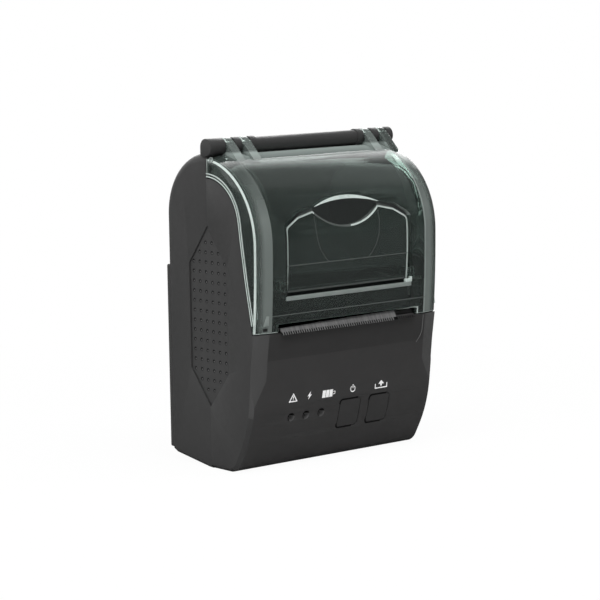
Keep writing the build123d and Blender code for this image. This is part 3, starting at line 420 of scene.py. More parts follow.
def turned_metal(name, colour, roughness):
    """Metal with fine lines along or round it."""
    finish = Finish(name, Metallic=1.0)
    lines = finish.noise(1.0, detail=3, where=finish.place((60, 4000, 4000)))
    darker = tuple(part * 0.86 for part in colour)
    finish.set(Base_Color=finish.blend(lines, (*darker, 1), (*colour, 1)))
    finish.set(Roughness=finish.spread(lines, 0.3, 0.7, roughness - 0.06, roughness + 0.08))
    finish.bump(lines, 0.000004, strength=0.4)
    return finish.material


def make_finishes():
    """One material for each finish of the printer."""
    made = {
        "housing": moulded_plastic("charcoal_housing", 0.034, NEUTRAL, 0.50, level=0.35),
        "panel": moulded_plastic("charcoal_panel", 0.034, WARM, 0.42, grain=FINE_GRAIN, level=0.35),
        "key": moulded_plastic("charcoal_key", 0.032, (1.0, 0.99, 0.99), 0.46, grain=FINE_GRAIN, level=0.35),
        "grip": moulded_plastic("grip_rubber", 0.036, NEUTRAL, 0.62, grain=FINE_GRAIN, level=0.35),
        "frame": moulded_plastic("black_frame", 0.012, NEUTRAL, 0.5),
        "cover": smoked_plastic("smoked_cover", SMOKE, 0.02, clearness=0.955),
        "cover_strip": strip_plastic("smoked_strip_painted_light", SMOKE),
        # Pale greens painted on the cover's and lever's edges, sills and fine lines as painted highlights,
        # from bright to dim
        "cover_edge_highlight": painted_edge_highlight("cover_edge_highlight", 0.50, 0.25),
        "cover_sill_highlight": painted_edge_highlight("cover_sill_highlight", 0.21, 0.3),
        "cover_line_highlight": painted_edge_highlight("cover_line_highlight", 0.08, 0.3),
        "band": moulded_plastic("charcoal_band_painted_shade", 0.027, WARM, 0.42, grain=FINE_GRAIN, level=0.35),
        "ridge": moulded_plastic("grey_ridge_highlight", 0.13, NEUTRAL, 0.4, grain=FINE_GRAIN, level=0.35),
        "steel": turned_metal("steel", (0.56, 0.57, 0.58), 0.3),
        "aluminium": turned_metal("aluminium", (0.66, 0.67, 0.68), 0.36),
        "tear_bar": streaked_face("tear_bar_face", 0.10),
        "strip": moulded_plastic("charcoal_strip_painted_highlight", 0.053, NEUTRAL, 0.5, level=0.35),
        "tray": moulded_plastic("grey_tray", 0.04, NEUTRAL, 0.5),
        # Near-black painted shade for the key grooves, the strip behind the teeth and the dark sides of wells
        # and dots; also the colour of the dark ribs behind the cover
        "shade": moulded_plastic("black_painted_shade", 0.004, NEUTRAL, 0.7, level=0.1),
        "glint": moulded_plastic("grey_glint", 0.075, NEUTRAL, 0.5, level=0.35),
        "ceramic": moulded_plastic("ceramic", 0.55, (1.0, 0.98, 0.93), 0.3, grain=SMOOTH_GRAIN),
        "rubber": moulded_plastic("black_rubber", 0.018, NEUTRAL, 0.72, grain=0.00003, level=0.3),
        "gear": moulded_plastic("white_nylon", 0.62, (1.0, 0.99, 0.94), 0.4, grain=FINE_GRAIN),
        "brass": turned_metal("brass", (0.75, 0.55, 0.25), 0.32),
        "board": moulded_plastic("green_board", 0.06, (0.35, 1.2, 0.5), 0.4, grain=FINE_GRAIN),
        "switch": moulded_plastic("switch_body", 0.02, NEUTRAL, 0.45),
        "lamp": moulded_plastic("lamp_lens", 0.03, NEUTRAL, 0.12, grain=0.000001),
        "cable": moulded_plastic("amber_ribbon", 0.35, (1.0, 0.5, 0.12), 0.35, grain=FINE_GRAIN),
        "battery": moulded_plastic("battery_wrap", 0.10, (0.5, 0.75, 1.3), 0.4, grain=FINE_GRAIN),
        "print": moulded_plastic("white_print", 0.82, NEUTRAL, 0.5, grain=SMOOTH_GRAIN),
    }
    # A faint painted glow on the tray, standing in for the light that reaches it through the closed cover
    painted_tray_glow = made["tray"].node_tree.nodes["Principled BSDF"].inputs
    painted_tray_glow["Emission Color"].default_value = (0.9, 1.0, 0.97, 1)
    painted_tray_glow["Emission Strength"].default_value = 0.022
    return made


finishes = make_finishes()


def paint(piece, *names):
    """Gives a piece its materials, in the order of its face slots."""
    piece.data.materials.clear()
    for name in names:
        piece.data.materials.append(finishes[name])


def activate(piece):
    bpy.ops.object.select_all(action="DESELECT")
    piece.select_set(True)
    bpy.context.view_layer.objects.active = piece


def apply_modifier(piece, kind, **settings):
    """Adds a modifier and applies it at once."""
    activate(piece)
    modifier = piece.modifiers.new(kind.lower(), kind)
    for key, value in settings.items():
        setattr(modifier, key, value)
    bpy.ops.object.modifier_apply(modifier=modifier.name)


def joined_copy(node, name):
    """A copy of a CAD node, joined up into one surface with whole flat faces."""
    piece = frame["nodes"][node].copy()
    piece.data = piece.data.copy()
    piece.name = name
    piece.data.name = name
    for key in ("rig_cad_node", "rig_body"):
        del piece[key]
    piece.parent = None
    bpy.context.scene.collection.objects.link(piece)
    activate(piece)
    bpy.ops.mesh.customdata_custom_splitnormals_clear()
    bpy.ops.object.mode_set(mode="EDIT")
    bpy.ops.mesh.select_all(action="SELECT")
    bpy.ops.mesh.remove_doubles(threshold=0.002 * MM)
    bpy.ops.mesh.dissolve_limited(angle_limit=math.radians(0.4))
    bpy.ops.object.mode_set(mode="OBJECT")
    return piece


def round_edges(piece, edge, edge_material=-1):
    """Rounds a piece's sharp edges and smooths what is left."""
    settings = {"width": edge * MM, "segments": 2, "angle_limit": math.radians(28), "limit_method": "ANGLE"}
    settings.update(use_clamp_overlap=True, harden_normals=False, miter_outer="MITER_ARC")
    apply_modifier(piece, "BEVEL", material=edge_material, **settings)
    activate(piece)
    bpy.ops.object.shade_smooth_by_angle(angle=SMOOTH_ANGLE)


def wear(piece, body, slot, *replaced):
    """Fastens a finished piece to its body and hides the CAD nodes it replaces. Its slot is not used."""
    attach(piece, body)
    if replaced:
        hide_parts(*replaced)
    return piece


def start_picking(piece, kind):
    """Opens edit mode for one kind of element, with nothing selected."""
    activate(piece)
    bpy.ops.object.mode_set(mode="EDIT")
    bpy.ops.mesh.select_mode(type=kind)
    bpy.ops.mesh.select_all(action="DESELECT")


def pick_faces(piece, wanted):
    """Selects the faces that pass a test, and opens edit mode."""
    start_picking(piece, "FACE")
    bpy.ops.object.mode_set(mode="OBJECT")
    for face in piece.data.polygons:
        face.select = wanted(face)
    bpy.ops.object.mode_set(mode="EDIT")


def bevel_edges(piece, wanted, width, slot, sharp=None):
    """Gives a flat bevel of its own material to the edges whose two ends both pass a test."""
    start_picking(piece, "EDGE")
    if sharp:
        bpy.ops.mesh.edges_select_sharp(sharpness=math.radians(sharp))
    bpy.ops.object.mode_set(mode="OBJECT")
    points = piece.data.vertices
    for edge in piece.data.edges:
        ends = [points[corner].co / MM for corner in edge.vertices]
        edge.select = (edge.select or not sharp) and all(wanted(end) for end in ends)
    bpy.ops.object.mode_set(mode="EDIT")
    bpy.ops.mesh.bevel(offset=width * MM, segments=1, material=slot)
    bpy.ops.object.mode_set(mode="OBJECT")


def cut_at(piece, height):
    """Cuts a line round a piece at one height."""
    activate(piece)
    bpy.ops.object.mode_set(mode="EDIT")
    bpy.ops.mesh.select_all(action="SELECT")
    bpy.ops.mesh.bisect(plane_co=(0, 0, height * MM), plane_no=(0, 0, 1))
    bpy.ops.object.mode_set(mode="OBJECT")


def cover_face_y(z, inset=0.0):
    """How far forward the cover's front lies at a height, or a layer behind it, in millimetres."""
    if z < COVER_AXIS_Z:
        drop = COVER_AXIS_Z - DECK_Z - SEAM_GAP
        return FRONT_Y + inset + (DECK_Y - FRONT_Y) * ((COVER_AXIS_Z - z) / drop) ** 2
    return COVER_AXIS_Y - math.sqrt((COVER_RADIUS - inset) ** 2 - (z - COVER_AXIS_Z) ** 2)


def lever_face_y(z):
    """How far forward the release lever's face lies at a height, before it dips, in millimetres."""
    return cover_face_y(z, LEVER_RECESS)


def panel_face_y(z):
    """How far forward the front panel lies at a height, in millimetres."""
    if z > BAND_Z:
        return BAND_Y + (DECK_Y - BAND_Y) * (z - BAND_Z) / (DECK_Z - BAND_Z)
    if z > KNEE_Z:
        return KNEE_Y + (BAND_Y - KNEE_Y) * (z - KNEE_Z) / (BAND_Z - KNEE_Z)
    return SHIN_Y - math.sqrt(SHIN_RADIUS**2 - (z - SHIN_Z) ** 2)


def arc_points(middle, radius, start, end, steps):
    """Points on an arc, from one angle to another, in degrees."""
    turns = [math.radians(start + (end - start) * step / steps) for step in range(steps + 1)]
    return [(middle[0] + radius * math.cos(turn), middle[1] + radius * math.sin(turn)) for turn in turns]


def cheek_path(offset, last_z):
    """The edge between cheek and cover in the side view, some way in from it, down to a height."""
    path = arc_points((CHEEK_Y, CHEEK_Z), CHEEK_RADIUS + offset, 90, CHEEK_TURN, CHEEK_STEPS)
    turn = math.radians(CHEEK_TURN)
    start = Vector((CHEEK_Y + CHEEK_RADIUS * math.cos(turn), CHEEK_Z + CHEEK_RADIUS * math.sin(turn)))
    foot = Vector((CHEEK_FOOT_Y, DECK_Z)) - start
    outward = Vector((math.cos(turn), math.sin(turn)))
    radius = foot.length_squared / (2 * foot.dot(outward))
    middle = start + outward * radius
    for step in range(1, CHEEK_STEPS + 1):
        z = start.y + (DECK_Z - start.y) * step / CHEEK_STEPS
        if z > last_z:
            path.append((middle.x + math.sqrt((radius - offset) ** 2 - (z - middle.y) ** 2), z))
    return path


def band_outline(inner, outer):
    """A closed outline between two lines that run side by side."""
    return list(inner) + list(reversed(outer))


def outlined_piece(name, outline, depth, place, bevel=0.0):
    """A flat piece with a given outline, in millimetres, whose corners are put in place one by one."""
    bpy.ops.mesh.primitive_circle_add(vertices=len(outline), radius=MM, fill_type="NGON")
    piece = bpy.context.object
    piece.name = name
    piece.data.name = name
    for corner, point in zip(piece.data.vertices, outline):
        corner.co = Vector(place(*point)) * MM
    bpy.ops.object.mode_set(mode="EDIT")
    bpy.ops.mesh.select_all(action="SELECT")
    bpy.ops.mesh.extrude_region_move(TRANSFORM_OT_translate={"value": Vector(depth) * MM})
    bpy.ops.mesh.select_all(action="SELECT")
    bpy.ops.mesh.normals_make_consistent(inside=False)
    bpy.ops.object.mode_set(mode="OBJECT")
    if bevel:
        apply_modifier(piece, "BEVEL", width=bevel * MM, segments=2, limit_method="ANGLE")
    activate(piece)
    bpy.ops.object.shade_smooth_by_angle(angle=SMOOTH_ANGLE)
    return piece


def side_piece(name, side, outline, inner_x, outer_x, bevel=0.0):
    """A piece with an outline in the side view, between two distances from the middle."""
    place = lambda y, z: (side * inner_x, y, z)
    return outlined_piece(name, outline, (side * (outer_x - inner_x), 0, 0), place, bevel)


def front_piece(name, outline, surface, sunk, raised, bevel=0.0):
    """A piece with an outline in the front view, that lies in a surface and stands out of it a little."""
    place = lambda x, z: (x, surface(z) + sunk, z)
    return outlined_piece(name, outline, (0, -sunk - raised, 0), place, bevel)


def stroke(points, width, closed=False):
    """Outlines of the straight pieces that make up a line through some points."""
    last = points[:1] if closed else []
    path = [Vector(point) for point in list(points) + list(last)]
    bars = []
    for start, end in zip(path, path[1:]):
        along = (end - start).normalized() * width / 2
        across = Vector((-along.y, along.x))
        corners = (start - along + across, start - along - across, end + along - across, end + along + across)
        bars.append([tuple(corner) for corner in corners])
    return bars


def join(pieces, name):
    """Joins pieces into the first one, with its place in its mesh."""
    bpy.ops.object.select_all(action="DESELECT")
    for piece in pieces:
        piece.select_set(True)
    bpy.context.view_layer.objects.active = pieces[0]
    bpy.ops.object.join()
    bpy.ops.object.transform_apply(location=True, rotation=True, scale=True)
    pieces[0].name = name
    pieces[0].data.name = name
    return pieces[0]


def make_housing():
    """Both halves of the charcoal housing."""
    rear = joined_copy("rear_shell", "rear_case")
    round_edges(rear, SHELL_ROUNDING)
    paint(rear, "housing")
    wear(rear, "housing", "housing", "rear_shell")
    front = joined_copy("front_shell", "front_case")
    round_edges(front, SHELL_ROUNDING)
    paint(front, "housing", "panel", "band", "strip")
    for face in front.data.polygons:
        x, _, z = face.center / MM
        if z >= DECK_Z:
            face.material_index = 0
        elif face.normal.y < -0.8 and abs(x) < PANEL_HALF_X:
            # Above the band line the panel takes the darker charcoal, painted shade where it leans downwards
            face.material_index = 2 if z > BAND_Z else 1
        else:
            # The slanted side strips above their foot take a lighter charcoal, a painted highlight where they
            # turn towards the light
            slanted = -0.995 < face.normal.y < -0.45 and abs(face.normal.x) > 0.08
            face.material_index = 3 if slanted and z > STRIP_FOOT_Z else 0
    wear(front, "housing", "housing", "front_shell")


def on_cover_front(point):
    """Whether a corner lies on the cover's outer front."""
    return point.y < cover_face_y(min(point.z, COVER_TOP_Z - 0.01)) + 0.2


def near_cover_front(y, z):
    """Whether a place lies within the cover's wall, at its front or over its top."""
    if z < COVER_AXIS_Z:
        return y < cover_face_y(z) + COVER_WALL
    return math.hypot(y - COVER_AXIS_Y, z - COVER_AXIS_Z) > COVER_RADIUS - COVER_WALL


def on_strip_edge(point):
    """Whether a corner lies where the cover's slanted strip meets its side."""
    if abs(point.x) < HALF_WIDTH - 0.3:
        return False
    if point.z < COVER_AXIS_Z:
        return abs(point.y - cover_face_y(point.z) - STRIP_INSET) < 0.25
    reach = math.hypot(point.y - COVER_AXIS_Y, point.z - COVER_AXIS_Z)
    return abs(reach - COVER_RADIUS + STRIP_INSET) < 0.15


def make_cover():
    """The smoked cover, with painted pale highlights along its edges."""
    cover = joined_copy("paper_cover", "clear_cover")
    paint(cover, "cover", "cover_edge_highlight", "cover_sill_highlight", "cover_line_highlight", "cover_strip")
    clear, edge, sill, line, strip = range(5)
    for point in cover.data.vertices:
        if abs(point.co.x) > (HALF_WIDTH - 0.01) * MM:
            point.co.x = math.copysign(HALF_WIDTH - SIDE_SINK, point.co.x) * MM
    near, far = KNUCKLE_RADII
    on_corner = lambda p: abs(p.x - COVER_STRIP_X) < 0.05 and on_cover_front(p)
    on_knuckle = lambda p: near < math.hypot(p.y - HINGE_Y, p.z - HINGE_Z) < far
    bevel_edges(cover, on_strip_edge, 0.5, edge)
    bevel_edges(cover, on_corner, 0.35, sill)
    bevel_edges(cover, on_knuckle, 0.3, edge, sharp=50)
    low, high = WINDOW_TOP
    # Painted light: the slanted strips take the paler strip plastic, and the window's downward walls the
    # sill's painted highlight
    for face in cover.data.polygons:
        x, y, z = face.center / MM
        facing = (face.normal.y < -0.2 or face.normal.z > 0.2) and abs(face.normal.x) < 0.6
        if face.material_index == clear and abs(x) > COVER_STRIP_X + 0.05 and facing:
            face.material_index = strip if near_cover_front(y, z) else clear
        elif face.normal.z < -0.25 and abs(x) < WINDOW_HALF_X and low < z < high and near_cover_front(y, z):
            face.material_index = sill
    cut_at(cover, COVER_RIM_Z)
    on_rim = lambda p: abs(p.z - COVER_RIM_Z) < 0.02 and abs(p.x) < COVER_RIM_HALF_X and on_cover_front(p)
    bevel_edges(cover, on_rim, 0.16, line)
    round_edges(cover, 0.25, edge_material=sill)
    wear(cover, "cover", "cover", "paper_cover")


def make_cover_trim():
    """Ridges along the cover's side edges, the bright rim of its window and the bar under it, in pale painted
    highlights.
    """
    pieces = []

    def add(piece, finish):
        paint(piece, finish)
        pieces.append(piece)

    for side in (-1, 1):
        foot = RIDGE_FOOT_Z
        for inset in RIDGE_INSETS:
            outline = band_outline(cheek_path(inset, foot), cheek_path(inset + RIDGE_WIDTH, foot))
            add(side_piece("ridge", side, outline, HALF_WIDTH - RIDGE_DEPTH, HALF_WIDTH, 0.08), "cover_edge_highlight")
        add(side_piece("ridge", side, REAR_RIDGE, HALF_WIDTH - RIDGE_DEPTH, HALF_WIDTH, 0.08), "cover_sill_highlight")
        ring = band_outline(*(arc_points(BOSS_PLACE, radius, 0, 350, 20) for radius in BOSS_RADII))
        add(side_piece("boss", side, ring, HALF_WIDTH - BOSS_DEPTH, HALF_WIDTH, 0.05), "cover_sill_highlight")
    add(front_piece("sill", SILL_BAR, cover_face_y, 0.9, 0.12, 0.12), "cover_sill_highlight")
    add(front_piece("stop", STOP_BLOCK, cover_face_y, 0.9, 0.1, 0.1), "cover_edge_highlight")
    crescent = band_outline(arc_points(*CRESCENT_TOP, 20), arc_points(*CRESCENT_FOOT, 20))
    add(front_piece("crescent", crescent, cover_face_y, 0.5, 0.06), "cover_edge_highlight")
    strip_face = lambda z: cover_face_y(z) + CORNER_INSET
    add(front_piece("corner_block", CORNER_BLOCK, strip_face, 0.3, 0.12, 0.15), "cover_sill_highlight")
    add(front_piece("corner_slot", CORNER_SLOT, strip_face, 0.3, 0.03), "frame")
    for path in GUIDE_RIBS:
        for outline in stroke(path, RIB_WIDTH):
            add(front_piece("rib", outline, lambda z: cover_face_y(z, RIB_INSET), 0.4, 0.0), "shade")
    # Dim pale webs over the lever's shoulders, painted light across the gap between the window's edge and the
    # lever
    for side in (-1, 1):
        outline = [(side * x, z) for x, z in WINDOW_LIP]
        add(front_piece("window_lip", outline, lever_face_y, 0.3, 0.0), "cover_line_highlight")
    wear(join(pieces, "cover_trim"), "cover", "cover")


def make_lever():
    """The release lever, which dips inwards below its crease, with a pale painted highlight round its face.
    """
    lever = joined_copy("release_lever", "clear_lever")
    paint(lever, "cover", "cover_edge_highlight", "cover_line_highlight")
    clear, edge, line = range(3)

    def in_face(face):
        x, y, z = face.center / MM
        deep, wide = LEVER_REACH
        return face.normal.y < -0.2 and abs(y - lever_face_y(z)) < deep and abs(x) < wide

    pick_faces(lever, in_face)
    lever.active_material_index = edge
    bpy.ops.object.material_slot_assign()
    bpy.ops.mesh.inset(thickness=LEVER_BORDER * MM, use_boundary=True, use_even_offset=True)
    lever.active_material_index = clear
    bpy.ops.object.material_slot_assign()
    bpy.ops.object.mode_set(mode="OBJECT")
    # The pale border leaves the lever's foot; the shoulders' tops take the dim painted line colour, and in
    # the notch the border is painted dimmer as painted shade
    for face in lever.data.polygons:
        x, _, z = face.center / MM
        if face.material_index == edge and z < LEVER_FOOT_Z and abs(x) < LEVER_FOOT_HALF_X:
            face.material_index = clear
        elif face.material_index == clear and face.normal.z > 0.75 and z > LEVER_SHOULDER_Z:
            face.material_index = line
        elif face.material_index == edge and NOTCH_SHADE[0] < x < NOTCH_SHADE[1]:
            face.material_index = line
    cut_at(lever, LEVER_CREASE_Z)
    for point in lever.data.vertices:
        below = LEVER_CREASE_Z - point.co.z / MM
        if below > 0 and abs(point.co.x) / MM < LEVER_HALF_X:
            point.co.y += below * LEVER_DIP * MM
    on_crease = lambda p: abs(p.z - LEVER_CREASE_Z) < 0.02 and p.y < FRONT_Y + 1.6
    bevel_edges(lever, on_crease, 0.15, line)
    round_edges(lever, 0.15)
    wear(lever, "lever", "cover", "release_lever")
    make_lever_lines()


def make_lever_lines():
    """Fine dim lines along the lever's scoop, and pale ones at the foot of its sides, all painted highlights.
    """
    lines = []
    dipped = lambda z: lever_face_y(z) + (LEVER_CREASE_Z - z) * LEVER_DIP
    for side in (-1, 1):
        outer = [(side * (x + SCOOP_HALF_WIDTH), z) for x, z in SCOOP_LINE]
        inner = [(side * (x - SCOOP_HALF_WIDTH), z) for x, z in SCOOP_LINE]
        scoop = front_piece("line", band_outline(inner, outer), lever_face_y, 0.05, 0.1)
        paint(scoop, "cover_line_highlight")
        lines.append(scoop)
        near, far = (side * x for x in SIDE_LINE_X)
        for start in SIDE_LINE_STARTS:
            end = start + SIDE_LINE_LENGTH
            corners = [(near, start), (far, start), (far, end), (near, end)]
            border = front_piece("line", corners, dipped, 0.1, 0.05)
            paint(border, "cover_edge_highlight")
            lines.append(border)
    wear(join(lines, "lever_scoop_lines"), "lever", "cover")


def make_tear_bar():
    """The slanted steel-grey tear bar with its row of teeth, on a dark carrier, with a strip of painted shade
    behind the teeth.
    """
    slant = lambda z: BLADE_TOP_Y - (BLADE_TOP_Z - z) * BLADE_SLOPE
    pieces = []
    blade = ("blade", BLADE_ENDS, BLADE_HEAD_Z, "tear_bar")
    comb = ("comb", COMB_ENDS, COMB_HEAD_Z, "band")
    across, down = BLADE_CORNER
    for name, (low, high), top, finish in (blade, comb):
        outline = [(high - across, top), (low + across, top), (low, top - down), (low, TOOTH_ROOT_Z)]
        for tooth in range(int((high - low - 2 * TEETH_MARGIN) / TOOTH_PITCH)):
            start = low + TEETH_MARGIN + tooth * TOOTH_PITCH
            outline.append((start + TOOTH_ROOTS[0], TOOTH_ROOT_Z))
            outline += [(start + tip, TOOTH_TIP_Z) for tip in TOOTH_TIPS]
            outline.append((start + TOOTH_ROOTS[1], TOOTH_ROOT_Z))
        outline += [(high, TOOTH_ROOT_Z), (high, top - down)]
        piece = front_piece(name, outline, slant, 0.45, 0.0)
        paint(piece, finish)
        pieces.append(piece)
    # Painted shade: a near-black strip behind the teeth darkens their gaps
    teeth_shade = front_piece("teeth_shade", TEETH_SHADE, slant, 0.5, -0.2)
    paint(teeth_shade, "shade")
    place = lambda y, z: (CARRIER_START_X, y, z)
    carrier = outlined_piece("carrier", CARRIER, (CARRIER_LENGTH, 0, 0), place, 0.15)
    paint(carrier, "frame")
    wear(join([carrier] + pieces + [teeth_shade], "tear_bar_set"), "housing", "tear_bar", "tear_bar")


def make_marks():
    """Plain white symbols over the lamps and keys."""
    outlines = stroke(TRIANGLE, SYMBOL_LINE, closed=True)
    for path, width in TRIANGLE_STROKES:
        outlines += stroke(path, width)
    outlines.append([(x + BOLT_X, z + BOLT_Z) for x, z in BOLT])
    for start in CELL_STARTS:
        end = start + CELL_WIDTH
        top = [(end + CELL_LEAN, CELL_TOP_Z), (start + CELL_LEAN, CELL_TOP_Z)]
        outlines.append([(start, CELL_FOOT_Z), (end, CELL_FOOT_Z)] + top)
    outlines += stroke(CELL_TIP, 0.24)
    outlines += stroke(arc_points(POWER_PLACE, POWER_RADIUS, 132, 408, 18), SYMBOL_LINE)
    outlines += stroke(POWER_STROKE, 0.3)
    outlines += stroke(FEED_TRAY, SYMBOL_LINE)
    outlines.append(FEED_HEAD)
    outlines += stroke(FEED_STEM, 0.6)
    marks = [front_piece("mark", outline, panel_face_y, 0.06, 0.03) for outline in outlines]
    symbols = join(marks, "panel_symbols")
    paint(symbols, "print")
    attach(symbols, "housing")


def make_key_grooves():
    """Near-black grooves along the left, top and bottom of each key, painted shade on the sides where the gap
    falls dark.
    """
    foot, top = KEY_LEVELS
    bars = []
    for middle in KEYS:
        left, right = middle - KEY_HALF_WIDTH, middle + KEY_HALF_WIDTH
        turn_x = left + 1.2
        path = [(right - 1.6, top)] + arc_points((turn_x, top - KEY_CORNER), KEY_CORNER, 90, 180, 6)
        path += arc_points((turn_x, foot + KEY_CORNER), KEY_CORNER, 180, 270, 6) + [(right - 2.3, foot)]
        for outline in stroke(path, KEY_GROOVE):
            bars.append(front_piece("ring", outline, panel_face_y, 0.2, 0.02))
    grooves = join(bars, "key_grooves")
    paint(grooves, "shade")
    wear(grooves, "housing", "key")


def make_lamp_wells():
    """Cone-shaped wells round the lamps, painted dark as shade at their upper left and lighter as a highlight
    at their lower right.
    """
    surface_y = panel_face_y(LAMP_Z)
    outward = Vector((0, surface_y - SHIN_Y, LAMP_Z - SHIN_Z)).normalized()
    lean = math.atan2(-outward.y, outward.z)
    foot, mouth = WELL_RADII
    settings = {"vertices": 28, "radius1": foot * MM, "radius2": mouth * MM, "depth": WELL_DEPTH * MM}
    settings.update(end_fill_type="NGON", rotation=(lean, 0, 0))
    wells = []
    for place in LAMPS:
        middle = Vector((place, surface_y, LAMP_Z)) - outward * WELL_DEPTH / 2
        bpy.ops.mesh.primitive_cone_add(location=middle * MM, **settings)
        well = bpy.context.object
        pick_faces(well, lambda face: len(face.vertices) > 4 and face.normal.z > 0.5)
        bpy.ops.mesh.delete(type="FACE")
        bpy.ops.mesh.select_all(action="SELECT")
        bpy.ops.mesh.flip_normals()
        bpy.ops.object.mode_set(mode="OBJECT")
        bpy.ops.object.shade_smooth_by_angle(angle=math.radians(30))
        paint(well, "shade", "glint", "panel")
        # Painted shade and highlight: each face takes near-black, grey or the panel's charcoal by which way
        # it leans
        for face in well.data.polygons:
            leaning = (face.center.x - face.center.y) / MM
            face.material_index = 1 if leaning > 0.75 else 2 if leaning > 0.3 else 0
        wells.append(well)
    wear(join(wells, "lamp_wells"), "housing", "housing")


def make_panel_ridge():
    """The thin light line that ends the panel's band on the right: a ridge painted light grey as a highlight,
    the band's darkness being painted shade.
    """
    bars = [front_piece("bar", outline, panel_face_y, 0.1, 0.03) for outline in stroke(PANEL_LINE, 0.22)]
    ridge = join(bars, "panel_ridge")
    paint(ridge, "ridge")
    wear(ridge, "housing", "housing")


def make_grip(side, name, node):
    """A rubber grip with rows of small dots, each painted dark as shade with a lighter spot as its painted
    highlight.
    """
    face_x, back_x = side * GRIP_FACE_X, side * GRIP_BACK_X
    bpy.ops.mesh.primitive_circle_add(vertices=6, radius=MM, fill_type="NGON", rotation=(0, math.pi / 2, 0))
    grip = bpy.context.object
    grip.name = name
    bpy.ops.object.transform_apply(location=True, rotation=True, scale=True)
    for corner, (y, z) in zip(grip.data.vertices, GRIP_OUTLINE):
        corner.co = Vector((back_x, y, z)) * MM
    bpy.ops.object.mode_set(mode="EDIT")
    bpy.ops.mesh.select_all(action="SELECT")
    bpy.ops.mesh.extrude_region_move(TRANSFORM_OT_translate={"value": ((face_x - back_x) * MM, 0, 0)})
    bpy.ops.mesh.select_all(action="SELECT")
    bpy.ops.mesh.normals_make_consistent(inside=False)
    bpy.ops.object.mode_set(mode="OBJECT")
    apply_modifier(grip, "BEVEL", width=0.15 * MM, segments=2, limit_method="ANGLE")
    places = []
    for row in range(GRIP_ROWS):
        z = GRIP_TOP_DOT_Z - row * GRIP_PITCH
        columns = {0: 2, 1: 4, GRIP_ROWS - 2: 4, GRIP_ROWS - 1: 2}.get(row, 6)
        for column in range(columns):
            y = GRIP_Y + (column - (columns - 1) / 2) * GRIP_PITCH
            places.append((face_x, y, z))
    turned = {"vertices": 14, "radius": GRIP_DOT_RADIUS * MM, "rotation": (0, math.pi / 2, 0)}
    bpy.ops.mesh.primitive_cylinder_add(depth=GRIP_DOT_DEPTH * MM, **turned)
    dot = bpy.context.object
    paint(dot, "shade")
    out, ahead, down = GRIP_SPOT_PLACE
    turned.update(vertices=10, radius=GRIP_SPOT_RADIUS * MM, location=Vector((side * out, ahead, down)) * MM)
    bpy.ops.mesh.primitive_cylinder_add(depth=GRIP_SPOT_DEPTH * MM, **turned)
    highlight_spot = bpy.context.object
    paint(highlight_spot, "glint")
    join([dot, highlight_spot], "dot")
    paint(grip, "grip")
    copies = [grip]
    for place in places:
        twin = dot.copy()
        twin.data = dot.data.copy()
        twin.location = Vector(place) * MM
        bpy.context.scene.collection.objects.link(twin)
        copies.append(twin)
    bpy.data.objects.remove(dot)
    join(copies, name)
    wear(grip, "housing", "grip", node)


make_housing()
make_cover()
make_cover_trim()
make_lever()
make_tear_bar()
make_marks()
make_key_grooves()
make_lamp_wells()
make_panel_ridge()
make_grip(-1, "grip_left", "side_grip_left")
make_grip(1, "grip_right", "side_grip_right")

node_finish = {
    "mechanism_frame": "frame",
    "print_head": "ceramic", "head_heatsink": "aluminium", "head_spring": "steel", "idler_axle": "steel",
    "stepper_motor": "steel", "paper_tray": "tray", "main_board": "board", "key_switches": "switch",
    "status_leds": "lamp", "usb_port": "steel", "board_chips": "switch", "buzzer": "switch",
    "head_cable": "cable", "paper_sensor": "switch", "battery_pack": "battery", "battery_contacts": "brass",
    "rear_feet": "rubber", "case_screws": "steel", "frame_screws": "steel", "board_screws": "steel",
    "hinge_pins": "steel", "platen_bushes": "gear", "platen_shaft": "steel", "platen_rubber": "rubber",
    "platen_gear": "gear", "idler_gear": "gear", "motor_pinion": "brass", "power_button": "key",
    "feed_button": "key", "battery_door": "housing",
}
for node, finish in node_finish.items():
    paint(frame["nodes"][node], finish)


def make_floor():
    """A pale floor that fades to plain white away from the printer's shadow."""
    bpy.ops.mesh.primitive_circle_add(vertices=64, radius=4.0, fill_type="NGON", location=(0, 0, 0))
    floor = bpy.context.object
    floor.name = "floor"
    finish = Finish("pale_floor", Roughness=0.9, Specular_IOR_Level=0.0)
    finish.set(Base_Color=(0.8, 0.8, 0.8, 1))
    here = finish.add("TexCoord", output="Object")
    away = finish.add("VectorMath", output="Value", settings={"operation": "LENGTH"}, Vector=here)
    seen = finish.add("LightPath", output="Is Camera Ray")
    through = finish.add("LightPath", output="Is Transmission Ray")
    glossy = finish.add("LightPath", output="Is Glossy Ray")
    near = finish.spread(away, 0.06, 0.28, SHADOW_SHARE, 1.0)
    white = finish.add("Emission", Color=(1, 1, 1, 1))
    black = finish.add("Emission", Color=(0.05, 0.05, 0.05, 1))
    lit = finish.mix(seen * near + through, finish.own_shader(), white)
    finish.end_with(finish.mix(glossy * 0.9, lit, black))
    floor.data.materials.append(finish.material)


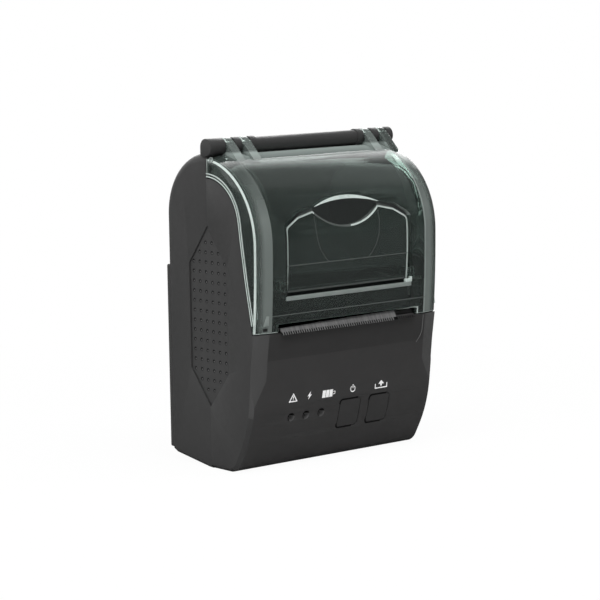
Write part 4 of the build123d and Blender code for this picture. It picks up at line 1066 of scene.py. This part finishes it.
def make_surroundings():
    """White behind the printer and overhead, darker in front, as in a product studio."""
    world = bpy.data.worlds.new("studio")
    bpy.context.scene.world = world
    world.use_nodes = True
    tree = world.node_tree
    background = tree.nodes["Background"]
    background.inputs["Color"].default_value = (1, 1, 1, 1)

    def add(kind, **settings):
        node = tree.nodes.new("ShaderNode" + kind)
        for key, value in settings.items():
            setattr(node, key, value)
        return node

    def fade(value, dark, bright, top=1.0):
        node = add("MapRange", interpolation_type="SMOOTHSTEP")
        for entry, level in zip(("From Min", "From Max", "To Min", "To Max"), (dark, bright, 0.0, top)):
            node.inputs[entry].default_value = level
        tree.links.new(value.socket, node.inputs["Value"])
        return Wire(tree, node.outputs["Result"])

    path = add("LightPath")
    where = add("SeparateXYZ")
    tree.links.new(add("TexCoord").outputs["Generated"], where.inputs[0])
    across, back, up = (Wire(tree, where.outputs[axis]) for axis in "XYZ")
    camera = Wire(tree, path.outputs["Is Camera Ray"])
    through = Wire(tree, path.outputs["Is Transmission Ray"])
    glossy = Wire(tree, path.outputs["Is Glossy Ray"])
    rightward = fade(across, 0.1, 0.4)
    left_part = (fade(back, -0.25, 0.75, 0.94) + 0.06) * (1 - rightward)
    crest_part = fade(back, -0.5, -0.2, 0.36) + fade(back, 0.1, 0.62, 4.0) * fade(up, -0.02, 0.1)
    shown = left_part + crest_part * rightward
    plain = camera + through
    strength = plain + glossy * shown + (1 - plain - glossy) * AMBIENT
    tree.links.new(strength.socket, background.inputs["Strength"])


def soft_lamp(name, place, target, size, power):
    """A rectangular soft box that looks at a point."""
    lamp = bpy.data.lights.new(name, "AREA")
    lamp.shape = "RECTANGLE"
    lamp.size, lamp.size_y = size
    lamp.energy = power
    box = bpy.data.objects.new(name, lamp)
    bpy.context.scene.collection.objects.link(box)
    box.location = place
    box.visible_glossy = False
    box.visible_transmission = False
    box.rotation_euler = (Vector(target) - Vector(place)).to_track_quat("-Z", "Y").to_euler()


def make_camera():
    """The photograph's point of view."""
    angles = (CAMERA_AZIMUTH, CAMERA_ELEVATION, CAMERA_ROLL)
    azimuth, elevation, roll = (math.radians(angle) for angle in angles)
    distance = CAMERA_DISTANCE * MM
    target = Vector(CAMERA_TARGET) * MM
    side = math.cos(elevation)
    back = Vector((math.sin(azimuth) * side, -math.cos(azimuth) * side, math.sin(elevation)))
    right = Vector((0, 0, 1)).cross(back).normalized()
    up = back.cross(right)
    level_right = right * math.cos(roll) + up * math.sin(roll)
    level_up = up * math.cos(roll) - right * math.sin(roll)
    lens = bpy.data.cameras.new("camera")
    lens.sensor_width = SENSOR_WIDTH
    lens.lens = SENSOR_WIDTH * FOCAL_PIXELS / PHOTO_PIXELS
    lens.clip_start, lens.clip_end = 0.05, 20.0
    camera = bpy.data.objects.new("camera", lens)
    bpy.context.scene.collection.objects.link(camera)
    turn = Matrix((level_right, level_up, back)).transposed().to_4x4()
    camera.matrix_world = Matrix.Translation(target + back * distance) @ turn
    bpy.context.scene.camera = camera


make_floor()
make_surroundings()
centre = (0, 0, 0.055)
soft_lamp("top_box", (-0.1, -0.25, 0.75), centre, (0.7, 0.5), 6)
soft_lamp("left_box", (-0.8, -0.1, 0.35), centre, (0.4, 0.7), 4)
soft_lamp("right_box", (0.7, -0.5, 0.3), centre, (0.3, 0.6), 2)
make_camera()
bpy.context.scene.view_settings.view_transform = "Standard"
